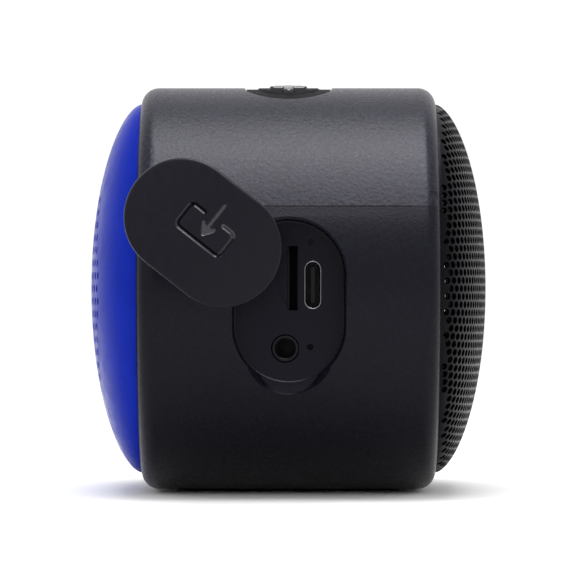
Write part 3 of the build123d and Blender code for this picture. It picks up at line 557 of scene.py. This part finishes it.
def weave_material(name, code, pitch_mm, roughness=0.9):
    """A plain weave seen close up."""
    recipe = Recipe(name, roughness=roughness, specular=0.2, sheen=0.2)
    pitch = math.pi / (pitch_mm * MM)
    waves = []
    for letter in "XZ":
        wave = recipe.math("MULTIPLY", recipe.axis(letter), pitch)
        node = recipe.tree.nodes.new("ShaderNodeMath")
        node.operation = "SINE"
        recipe.tree.links.new(wave, node.inputs[0])
        waves.append(node.outputs[0])
    threads = recipe.math("MULTIPLY", waves[0], waves[1])
    base = rgb(code)
    recipe.link(recipe.mixed(recipe.ranged(threads, 0, 1, -1, 1), shade(base, 0.6), shade(base, 1.5)),
                "Base Color")
    recipe.link(recipe.ranged(recipe.noise(1.0), roughness - 0.1, roughness + 0.08), "Roughness")
    recipe.link(recipe.bump(threads, 0.05), "Normal")
    return recipe.material


def brushed_material(name, code, roughness, along, metallic=1.0):
    """Drawn or turned metal with fine lines along one axis."""
    recipe = Recipe(name, roughness=roughness, metallic=metallic)
    scale = [1, 1, 1]
    scale["XYZ".index(along)] = 0.04
    lines = recipe.noise(0.12, 3.0, recipe.stretched(scale))
    base = rgb(code)
    recipe.link(recipe.mixed(recipe.ranged(lines, 0, 1), shade(base, 0.85), shade(base, 1.1)),
                "Base Color")
    recipe.link(recipe.ranged(lines, roughness - 0.07, roughness + 0.1), "Roughness")
    recipe.link(recipe.bump(lines, 0.004), "Normal")
    return recipe.material


def board_material():
    """Green solder mask over faint copper tracks."""
    recipe = Recipe("board_finish", roughness=0.35, specular=0.5, coat=0.2)
    cells = recipe.node("ShaderNodeTexVoronoi", Vector=recipe.where, Scale=1 / (2.6 * MM))
    cells.distance = "MANHATTAN"
    tracks = recipe.ranged(cells.outputs["Distance"], 0, 1, 0.38, 0.42)
    recipe.link(recipe.mixed(tracks, rgb("0d3a22"), rgb("1a5a34")), "Base Color")
    recipe.link(recipe.ranged(recipe.noise(2.0), 0.28, 0.45), "Roughness")
    recipe.link(recipe.bump(tracks, 0.03), "Normal")
    return recipe.material


def clear_material():
    """Frosted clear plastic of the light pipe."""
    recipe = Recipe("clear_plastic_finish", roughness=0.25, ior=1.49, specular=0.05)
    recipe.set("Transmission Weight", 0.05)
    recipe.link(recipe.mixed(recipe.noise(0.4), rgb("030304"), rgb("070709")), "Base Color")
    recipe.link(recipe.bump(recipe.noise(0.2), 0.01), "Normal")
    return recipe.material


MATERIALS = {
    "casing_plastic": casing_material(),
    "cover_plastic": cover_material(),
    "grille_metal": grille_material(),
    "flap_rubber": rubber_material("flap_rubber_finish", "0a0a10", 0.34, 0.008),
    "keypad_rubber": rubber_material("keypad_rubber_finish", "08080b", 0.6, specular=0.06),
    "key_rubber": rubber_material("key_rubber_finish", "101014", 0.16, 0.003, specular=0.6),
    "foot_rubber": rubber_material("foot_rubber_finish", "121214", 0.7, 0.02),
    "surround_rubber": rubber_material("surround_rubber_finish", "101012", 0.5),
    "cloth": weave_material("cloth_finish", "0b0b0d", 0.35),
    "spider_cloth": weave_material("spider_cloth_finish", "a8793c", 0.6),
    "foam": plain("foam_finish", "141416", 0.95, grain=0.3, depth=0.12, blotch=1.2,
                  specular=0.15).material,
    "inner_plastic": plain("inner_plastic_finish", "1d1e20", 0.5, grain=0.3).material,
    "steel": brushed_material("steel_finish", "a9abad", 0.34, "X"),
    "black_steel": plain("black_steel_finish", "0c0c0f", 0.45, specular=0.15).material,
    "ferrite": plain("ferrite_finish", "202123", 0.6, grain=0.2, depth=0.03,
                     specular=0.4).material,
    "copper": brushed_material("copper_finish", "b56b3a", 0.3, "X"),
    "paper_cone": plain("paper_cone_finish", "1b1a19", 0.85, grain=0.5, depth=0.06,
                        spread=0.25, specular=0.2).material,
    "board": board_material(),
    "chip": plain("chip_finish", "151617", 0.55, grain=0.12).material,
    "port_steel": brushed_material("port_steel_finish", "85878d", 0.32, "Z"),
    "port_plastic": plain("port_plastic_finish", "09090c", 0.35, grain=0.2, depth=0.006,
                          specular=0.15).material,
    "clear_plastic": clear_material(),
    "cell_foil": brushed_material("cell_foil_finish", "9fa3a8", 0.42, "Z"),
    "wire": plain("wire_finish", "7d1a16", 0.45, grain=0.3, depth=0.01).material,
}
SIGN_FINISH = rubber_material("flap_sign_finish", "0f0f15", 0.3, 0.003, 0.8)
# the sign's tray walls take one of two copies of the rubber by which way they face as the flap stands
# open: a lighter, glossier one as painted light and a near-black one as painted shade
SIGN_PAINTED_LIGHT_FINISH = rubber_material("flap_sign_painted_light_finish", "0c0c12", 0.34, 0.003, 0.4)
SIGN_PAINTED_SHADE_FINISH = rubber_material("flap_sign_painted_shade_finish", "030306", 0.6, 0.003, 0.04)
FLOOR_FINISH = plain("floor_finish", "fbfbfb", 0.7, grain=2.0, depth=0.02, spread=0.003,
                     blotch=60.0, specular=0.2).material

for dark_can in ("card_socket", "microphone"):
    for place in NODES[dark_can].material_slots:
        place.material = MATERIALS["black_steel"]
for part in NODES.values():
    for place in part.material_slots:
        place.material = MATERIALS.get(place.material.name, place.material)


# ---------------------------------------------------------------- front and rear domes

def dome_profile(crown, rim):
    """Tables along the dome's curve from the middle to the rim: arc length, radius, height."""
    turns = np.linspace(0, math.pi / 2, 4000)
    radius = rim * np.sin(turns)
    height = CASING_HALF_DEPTH + crown * np.maximum(np.cos(turns), 0) ** (2 * DOME_POWER)
    steps = np.hypot(np.diff(radius), np.diff(height))
    return np.r_[0, np.cumsum(steps)], radius, height


def dome_points(flat, profile, wall):
    """Flat stadium points laid over the dome, sunk by a depth along its normal."""
    lengths, radius, height = profile
    side = np.clip(np.abs(flat[:, 0]) - FLAT_HALF, 0, None) * np.sign(flat[:, 0])
    reach = np.hypot(side, flat[:, 1])
    safe = np.maximum(reach, 1e-9)
    r = np.interp(reach, lengths, radius)
    h = np.interp(reach, lengths, height)
    ahead = np.minimum(reach + 0.02, lengths[-1])
    behind = np.maximum(ahead - 0.04, 0)
    dr = np.interp(ahead, lengths, radius) - np.interp(behind, lengths, radius)
    dh = np.interp(ahead, lengths, height) - np.interp(behind, lengths, height)
    size = np.hypot(dr, dh)
    out_r, out_h = -dh / size, dr / size
    r = r - out_r * wall
    h = h - out_h * wall
    core = np.clip(flat[:, 0], -FLAT_HALF, FLAT_HALF)
    return np.column_stack([core + side / safe * r, flat[:, 1] / safe * r, h])


def hole_places(pitch, row_pitch, reach):
    """Staggered places of the holes over a stadium that ends at a reach."""
    rows = int(reach / row_pitch) + 1
    places = []
    for row in range(-rows, rows + 1):
        shift = pitch / 2 if row % 2 else 0
        count = int((FLAT_HALF + reach) / pitch) + 2
        for n in range(-count, count + 1):
            u, v = n * pitch + shift, row * row_pitch
            if math.hypot(max(abs(u) - FLAT_HALF, 0), v) <= reach:
                places.append((u, v))
    return places


def perforated_dome(wall, hole_r, sides, pitch, row_pitch, border, skirt_inset):
    """A dome of sheet with rounded-edged holes, closed at its back and round its skirt."""
    profile = dome_profile(CROWN, RIM_R)
    end = profile[0][-1]
    flare = 0.07
    places = hole_places(pitch, row_pitch, end - border)
    rim = stadium_loop(2 * (FLAT_HALF + end), 2 * end, 1.1)
    holes = [circle_loop(hole_r + flare, sides, p) for p in places]
    free = [stadium_loop(2 * (FLAT_HALF + end - s), 2 * (end - s), 1.1)
            for s in (0.25, 0.6, 1.1, 1.7, 2.4)]
    spread = grid((-FLAT_HALF - end, -end), (FLAT_HALF + end, end), 1.5)
    reach = np.hypot(np.maximum(np.abs(spread[:, 0]) - FLAT_HALF, 0), spread[:, 1])
    spread = spread[(reach > end - border + hole_r * 1.6) & (reach < end - 3.0)]
    free = np.vstack(free + [spread])
    if border < 3:
        centres = np.array(places)
        gaps = np.sqrt(((free[:, None] - centres[None]) ** 2).sum(2)).min(1)
        free = free[gaps > hole_r + 0.2]
    points, tris, owner = triangulated([rim] + holes, free)
    same = (owner[tris] > 0).all(1) & (owner[tris] == owner[tris[:, :1]]).all(1)
    tris = tris[~same]
    count = len(points)
    rim_count = len(rim)
    ring = slice(rim_count, rim_count + len(places) * sides)
    inner = points.copy()
    centres = np.repeat(np.array(places), sides, axis=0)
    inner[ring] = centres + (points[ring] - centres) * hole_r / (hole_r + flare)
    front = dome_points(points, profile, 0.0)
    back = dome_points(inner, profile, wall)
    lip = dome_points(inner[ring], profile, flare)
    coords = [front, back, lip]
    faces = [tuple(t) for t in tris] + [tuple(t[::-1] + count) for t in tris]
    for n in range(len(places)):
        for k in range(sides):
            a, b = n * sides + k, n * sides + (k + 1) % sides
            top = (rim_count + a, rim_count + b)
            mid = (2 * count + a, 2 * count + b)
            low = (count + rim_count + a, count + rim_count + b)
            faces.append((top[0], top[1], mid[1], mid[0]))
            faces.append((mid[0], mid[1], low[1], low[0]))
    start = 2 * count + len(places) * sides
    skirt_low = CASING_HALF_DEPTH - SKIRT
    outer = front[:rim_count].copy()
    outer[:, 2] = skirt_low
    side = np.clip(np.abs(outer[:, 0]) - FLAT_HALF, 0, None) * np.sign(outer[:, 0])
    core = outer[:, 0] - side
    reach = np.hypot(side, outer[:, 1])
    inside_rim = outer.copy()
    inside_rim[:, 0] = core + side * (reach - skirt_inset) / reach
    inside_rim[:, 1] = outer[:, 1] * (reach - skirt_inset) / reach
    top_inside = inside_rim.copy()
    top_inside[:, 2] = back[:rim_count, 2] - 0.05
    back_rim = count
    coords += [outer, inside_rim]
    for k in range(rim_count):
        m = (k + 1) % rim_count
        faces.append((m, k, start + k, start + m))
        faces.append((start + m, start + k, start + rim_count + k, start + rim_count + m))
        faces.append((start + rim_count + m, start + rim_count + k, back_rim + k, back_rim + m))
    return np.vstack(coords), faces


def front_facing(points):
    """Face-up points turned to the front."""
    return np.column_stack([points[:, 0], -points[:, 2], points[:, 1] + Z_MID])


def rear_facing(points):
    """Face-up points turned to the rear."""
    return np.column_stack([points[:, 0], points[:, 2], Z_MID - points[:, 1]])


def make_domes():
    """The blue front cover and the black rear grille, with their real holes."""
    points, faces = perforated_dome(wall=1.6, hole_r=0.72, sides=16, pitch=2.8,
                                    row_pitch=2.42, border=17.0, skirt_inset=1.6)
    make_piece("front_cover_shell", front_facing(points), faces, "speaker",
               ["front_cover"], MATERIALS["cover_plastic"])
    points, faces = perforated_dome(wall=0.7, hole_r=0.68, sides=9, pitch=1.72,
                                    row_pitch=1.53, border=0.75, skirt_inset=0.7)
    make_piece("rear_grille_sheet", rear_facing(points), faces, "speaker",
               ["rear_grille"], MATERIALS["grille_metal"])


make_domes()


# ---------------------------------------------------------------- flap over the ports

FLAP_LONG = 30.5
FLAP_WIDE = 21.15
FLAP_WALL = 2.0
FLAP_EDGE = 0.55
FLAP_SWING = math.radians(128.3)
FLAP_STANDOFF = 18.0
TETHER_Y = -4.65
TETHER_Z = 7.6
TETHER_GAP_R = 1.56
BOSS_R = 2.9
BOSS_INSET = 3.2
TRAY_HALF_WIDTH = 0.42
TRAY_DEPTH = 0.32
TRAY_GAP = (-1.95, 2.35)
ARROW_HALF_WIDTH = 0.38
ARROW_DEPTH = 0.2
ARROW_WALL = 0.12


def end_surface(inset):
    """The casing's end, as the X of each place across it, sunk by an inset."""
    return lambda y, z: FLAT_HALF + np.sqrt(np.maximum((R_BODY - inset) ** 2 - z ** 2, 0)) + 0 * y


def icon_distances(y, z):
    """The distances from the strokes of the flap's sign, an arrow that enters an open tray."""
    a = z - RECESS_Z
    b = RECESS_Y - y
    corner = 1.0
    left, right, low, high = -4.8, 5.0, -1.8, 3.15
    gap_left, gap_right = TRAY_GAP
    sides = [
        ((left, low + corner), (left, high - corner)),
        ((right, low + corner), (right, high - corner)),
        ((left + corner, low), (right - corner, low)),
        ((left + corner, high), (gap_left, high)),
        ((gap_right, high), (right - corner, high)),
    ]
    tray = np.min([segment_distance(a, b, s, e) for s, e in sides], axis=0)
    for ca, sa in ((left + corner, -1), (right - corner, 1)):
        for cb, sb in ((low + corner, -1), (high - corner, 1)):
            away = np.abs(np.hypot(a - ca, b - cb) - corner)
            within = ((a - ca) * sa > 0) & ((b - cb) * sb > 0)
            tray = np.where(within, np.minimum(tray, away), tray)
    tip = (0.25, -0.15)
    flights = [((0.25, 6.2), tip), (tip, (-0.95, 1.55)), (tip, (1.45, 1.55)),
               ((0.25, 1.0), (-0.45, 1.2)), ((0.25, 1.0), (0.95, 1.2))]
    arrow = np.min([segment_distance(a, b, s, e) for s, e in flights], axis=0)
    return tray, arrow


def icon_distance(y, z):
    """The distance from the nearest stroke of the sign."""
    return np.minimum(*icon_distances(y, z))


def flap_top(y, z):
    """The flap's outer face, with the sign engraved in sloping grooves."""
    tray, arrow = icon_distances(y, z)
    tray_groove = TRAY_DEPTH * np.clip(1 - tray / TRAY_HALF_WIDTH, 0, 1)
    arrow_groove = ARROW_DEPTH * np.clip((ARROW_HALF_WIDTH - arrow) / ARROW_WALL, 0, 1)
    return end_surface(0)(y, z) - np.maximum(tray_groove, arrow_groove)


def opened(points):
    """Points of the closed flap (y, z from the middle, x) taken to where it stands open."""
    y, z, x = points[:, 0] - TETHER_Y, points[:, 1] - TETHER_Z, points[:, 2]
    c, s = math.cos(-FLAP_SWING), math.sin(-FLAP_SWING)
    turned_y = c * y - s * z + TETHER_Y
    turned_z = s * y + c * z + TETHER_Z + Z_MID
    return np.column_stack([x + FLAP_STANDOFF, turned_y, turned_z])


def make_flap():
    """The curved rubber flap with its engraved sign and the boss that turns on the tether."""
    outline = stadium_loop(FLAP_LONG, FLAP_WIDE, 0.4, (RECESS_Y, RECESS_Z), upright=True)
    fine = grid((RECESS_Y - 7.0, RECESS_Z - 5.2), (RECESS_Y + 2.6, RECESS_Z + 5.2), 0.1)
    near = icon_distance(fine[:, 0], fine[:, 1])
    fine = fine[near < 0.55]
    coarse_free = grid((RECESS_Y - 10, RECESS_Z - 15), (RECESS_Y + 10, RECESS_Z + 15), 0.9)
    coarse_free = coarse_free[icon_distance(coarse_free[:, 0], coarse_free[:, 1]) > 0.62]
    plate = slab([outline], flap_top, end_surface(FLAP_WALL), FLAP_EDGE, 50.0,
                 [fine, coarse_free])
    top_x = float(end_surface(FLAP_WALL - 0.6)(TETHER_Y, TETHER_Z))
    low_x = float(end_surface(BOSS_INSET)(TETHER_Y, TETHER_Z))
    bevel = 0.25
    ring = lathe([(TETHER_GAP_R, top_x), (TETHER_GAP_R, low_x + bevel),
                  (TETHER_GAP_R + bevel, low_x), (BOSS_R - bevel, low_x),
                  (BOSS_R, low_x + bevel), (BOSS_R + 0.3, top_x)])
    boss = ring[0] + np.array([TETHER_Y, TETHER_Z, 0])
    points, faces = joined(plate, (boss, [f[::-1] for f in ring[1]]))
    flap = make_piece("port_flap_moulding", opened(points), faces, "port_flap",
                      ["port_flap"], MATERIALS["flap_rubber"])
    for finish in (SIGN_FINISH, SIGN_PAINTED_LIGHT_FINISH, SIGN_PAINTED_SHADE_FINISH):
        flap.data.materials.append(finish)
    # the sign: 1 is the arrow and one end of the tray, in a glossier finish; 2 the tray walls that
    # face +Y as the flap stands open, painted light; 3 the rest of the tray walls, painted shade. The
    # painted light and shade stay fixed to the moulding when the flap turns.
    for polygon in flap.data.polygons:
        y, z = np.mean([points[v][:2] for v in polygon.vertices], axis=0)
        tray, arrow = icon_distances(y, z)
        ends = z - RECESS_Z > TRAY_GAP[1] - TRAY_HALF_WIDTH and RECESS_Y - y > 2.5
        if polygon.normal.x < 0.3:
            continue
        if arrow < ARROW_HALF_WIDTH or (ends and tray < TRAY_HALF_WIDTH):
            polygon.material_index = 1
        elif tray < TRAY_HALF_WIDTH:
            polygon.material_index = 2 if polygon.normal.y > 0.1 else 3


make_flap()


# ---------------------------------------------------------------- ports

USB_Y = 4.5
USB_Z = 0.65
USB_LONG = 8.94
USB_WIDE = 3.16
USB_SHELL = 0.2
USB_DEPTH = 7.4


def make_usb_shell():
    """The folded steel shell of the charging socket, with its rounded lip."""
    lip = USB_SHELL / 2
    back = FLOOR_X - USB_DEPTH
    bends = np.linspace(math.pi, 0, 9)
    profile = [(lip - lip * math.cos(math.pi - t), FLOOR_X - lip + lip * math.sin(t))
               for t in bends]
    profile = [(0, back)] + profile + [(USB_SHELL, back)]
    turns = np.linspace(0, 2 * math.pi, 64, endpoint=False)
    half = (USB_LONG - USB_WIDE) / 2
    points, faces = [], []
    size = len(profile)
    for k, turn in enumerate(turns):
        side = 1 if turn < math.pi else -1
        for inset, x in profile:
            r = USB_WIDE / 2 - inset
            points.append((x, USB_Y + r * math.cos(turn),
                           Z_MID + USB_Z + side * half + r * math.sin(turn)))
        after = (k + 1) % len(turns) * size
        for n in range(size):
            m = (n + 1) % size
            faces.append((k * size + n, k * size + m, after + m, after + n))
    make_piece("usb_c_shell_formed", points, faces, "speaker",
               ["usb_c_shell"], MATERIALS["port_steel"])


make_usb_shell()


# ---------------------------------------------------------------- keypad

PAD_LONG = 45.0
PAD_WIDE = 16.2
PAD_FACE_INSET = 0.25
PAD_BACK_INSET = 1.55
ISLAND_LONG = 38.0
ISLAND_WIDE = 11.5
KEY_PITCH = 10.0
KEY_LONG = 7.2
KEY_BAR = 1.9
KEY_PROUD = 0.6
KEY_BACK_INSET = 1.15
KEY_GAP = 0.12
KEY_POST_R = 1.2
KEY_POST_END = 4.4
KEY_EDGE = 0.32


def top_surface(inset):
    """The casing's top, as the Z of each place over it, sunk by an inset."""

    def height(x, y):
        along = np.maximum(np.abs(x) - FLAT_HALF, 0)
        return Z_MID + np.sqrt(np.maximum((R_BODY - inset) ** 2 - along ** 2, 0)) + 0 * y

    return height


def power_shape(x, y):
    """A broken ring with an upright bar."""
    outer = KEY_LONG / 2
    stroke = KEY_BAR * 0.75
    ring = np.abs(np.hypot(x, y) - (outer - stroke / 2)) - stroke / 2
    gap = np.maximum(np.abs(x) - KEY_BAR, -y)
    upright = bar(x, y, 2 * outer - stroke / 2, stroke, True, (0, stroke / 4))
    return np.minimum(np.maximum(ring, -gap), upright)


def minus_shape(x, y):
    """A single bar across the keypad."""
    return bar(x, y, KEY_LONG, KEY_BAR, True)


def play_shape(x, y):
    """A triangle and a bar against its point."""
    half = KEY_LONG / 2
    slope = math.atan2(half * 0.8, half * 1.45)
    lean = (x - half * 0.45) * math.sin(slope) + np.abs(y) * math.cos(slope)
    triangle = np.maximum(lean, -half - x)
    upright = bar(x, y, KEY_LONG * 0.8, KEY_BAR * 0.8, True, (half * 0.62, 0))
    tie = np.maximum(np.abs(x) - KEY_LONG * 0.35, np.abs(y) - KEY_BAR * 0.3)
    return np.minimum(np.minimum(triangle, upright), tie)


def plus_shape(x, y):
    """Two crossed bars."""
    return np.minimum(minus_shape(x, y), bar(x, y, KEY_LONG, KEY_BAR, False))


KEY_SHAPES = {"power": power_shape, "minus": minus_shape, "play": play_shape, "plus": plus_shape}


def make_keypad():
    """The rubber panel with its raised island, and the four raised signs that are keys."""
    holes = []
    for n, (sign, shape) in enumerate(KEY_SHAPES.items()):
        centre = np.array([KEY_PITCH * (n - 1.5), 0])
        loop = contour(shape, 4.4, 0.08, 0.16)
        gap = contour(lambda x, y, s=shape: s(x, y) - KEY_GAP, 4.4, 0.08, 0.2)
        holes.append(gap + centre)
        loop = loop + centre
        plate = slab([loop], top_surface(-KEY_PROUD), top_surface(KEY_BACK_INSET), KEY_EDGE, 0.3)
        post_top = float(top_surface(KEY_BACK_INSET - 0.3)(centre[0], 0))
        low = Z_TOP - KEY_POST_END
        post = lathe([(0, low), (KEY_POST_R, low), (KEY_POST_R, post_top), (0, post_top)], 24)
        post = (post[0] + np.array([centre[0], 0, 0]), post[1])
        points, faces = joined(plate, post)
        make_piece(f"key_{sign}_cap", points, faces, f"key_{sign}",
                   [f"button_{sign}"], MATERIALS["key_rubber"])
    outline = stadium_loop(PAD_LONG, PAD_WIDE, 0.4)
    step = 0.5

    def island_depth(x, y):
        """How far inside the island's outline a place lies."""
        return -bar(x, y, ISLAND_LONG, ISLAND_WIDE, False)

    def face(x, y):
        """The panel's face, with the island standing up from it."""
        rise = np.clip(island_depth(x, y) / 0.45 + 0.5, 0, 1)
        rise = rise * rise * (3 - 2 * rise)
        return top_surface(PAD_FACE_INSET)(x, y) * (1 - rise) + top_surface(0)(x, y) * rise

    free = [stadium_loop(ISLAND_LONG + 2 * s, ISLAND_WIDE + 2 * s, 0.35)
            for s in (-0.24, -0.16, -0.08, 0.0, 0.08, 0.16, 0.24)]
    lone = grid((-PAD_LONG / 2, -PAD_WIDE / 2), (PAD_LONG / 2, PAD_WIDE / 2), step)
    lone = lone[np.abs(island_depth(lone[:, 0], lone[:, 1])) > 0.4]
    points, faces = slab([outline] + holes, face, top_surface(PAD_BACK_INSET), 0.14, 50.0,
                         free + [lone])
    make_piece("keypad_moulding", points, faces, "speaker",
               ["keypad_panel"], MATERIALS["keypad_rubber"])


make_keypad()


# ---------------------------------------------------------------- camera, light and floor

def make_camera():
    """A long lens that faces the port end squarely, level with the middle of the casing."""
    distance = 0.75
    scale = 5.45
    picture_width = 577
    camera_data = bpy.data.cameras.new("camera")
    camera_data.sensor_width = 36.0
    camera_data.lens = scale * distance / MM * camera_data.sensor_width / picture_width
    camera_data.clip_end = 20
    camera = bpy.data.objects.new("camera", camera_data)
    bpy.context.scene.collection.objects.link(camera)
    camera.location = (BODY_HALF * MM + distance, 0, Z_MID * MM)
    camera.rotation_euler = (math.radians(90), 0, math.radians(90))
    bpy.context.scene.camera = camera


def make_light(name, place, size, power, only=None):
    """A soft square light that faces the speaker; it can be kept to some objects only."""
    data = bpy.data.lights.new(name, "AREA")
    data.shape = "SQUARE"
    data.size = size
    data.energy = power
    light = bpy.data.objects.new(name, data)
    bpy.context.scene.collection.objects.link(light)
    light.location = place
    aim = Vector((0, 0, Z_MID * MM)) - Vector(place)
    light.rotation_euler = aim.to_track_quat("-Z", "Y").to_euler()
    if only is not None:
        light.light_linking.receiver_collection = only


def speaker_pieces():
    """Every piece of the speaker but the front cover and the rear grille, as a group that a light can
    be kept to.
    """
    group = bpy.data.collections.new("speaker_pieces")
    for piece in bpy.context.scene.objects:
        if piece.type == "MESH" and piece.name not in ("floor", "front_cover_shell",
                                                        "rear_grille_sheet"):
            group.objects.link(piece)
    return group


def make_stage():
    """A plain pale floor under a white surround."""
    half = 3.0
    mesh = bpy.data.meshes.new("floor")
    mesh.from_pydata([(-half, -half, 0), (half, -half, 0), (half, half, 0), (-half, half, 0)],
                     [], [(0, 1, 2, 3)])
    mesh.materials.append(FLOOR_FINISH)
    floor = bpy.data.objects.new("floor", mesh)
    bpy.context.scene.collection.objects.link(floor)
    world = bpy.data.worlds.new("surround")
    world.use_nodes = True
    world.node_tree.nodes["Background"].inputs["Color"].default_value = (1, 1, 1, 1)
    world.node_tree.nodes["Background"].inputs["Strength"].default_value = 1.06
    bpy.context.scene.world = world
    bpy.context.scene.view_settings.view_transform = "Standard"


make_camera()
make_stage()
make_light("overhead_softbox", (0.29, 0.1, 0.76), 0.6, 11.3, speaker_pieces())
make_light("overhead_fill", (0.0, 0.0, 0.9), 0.5, 5.5)
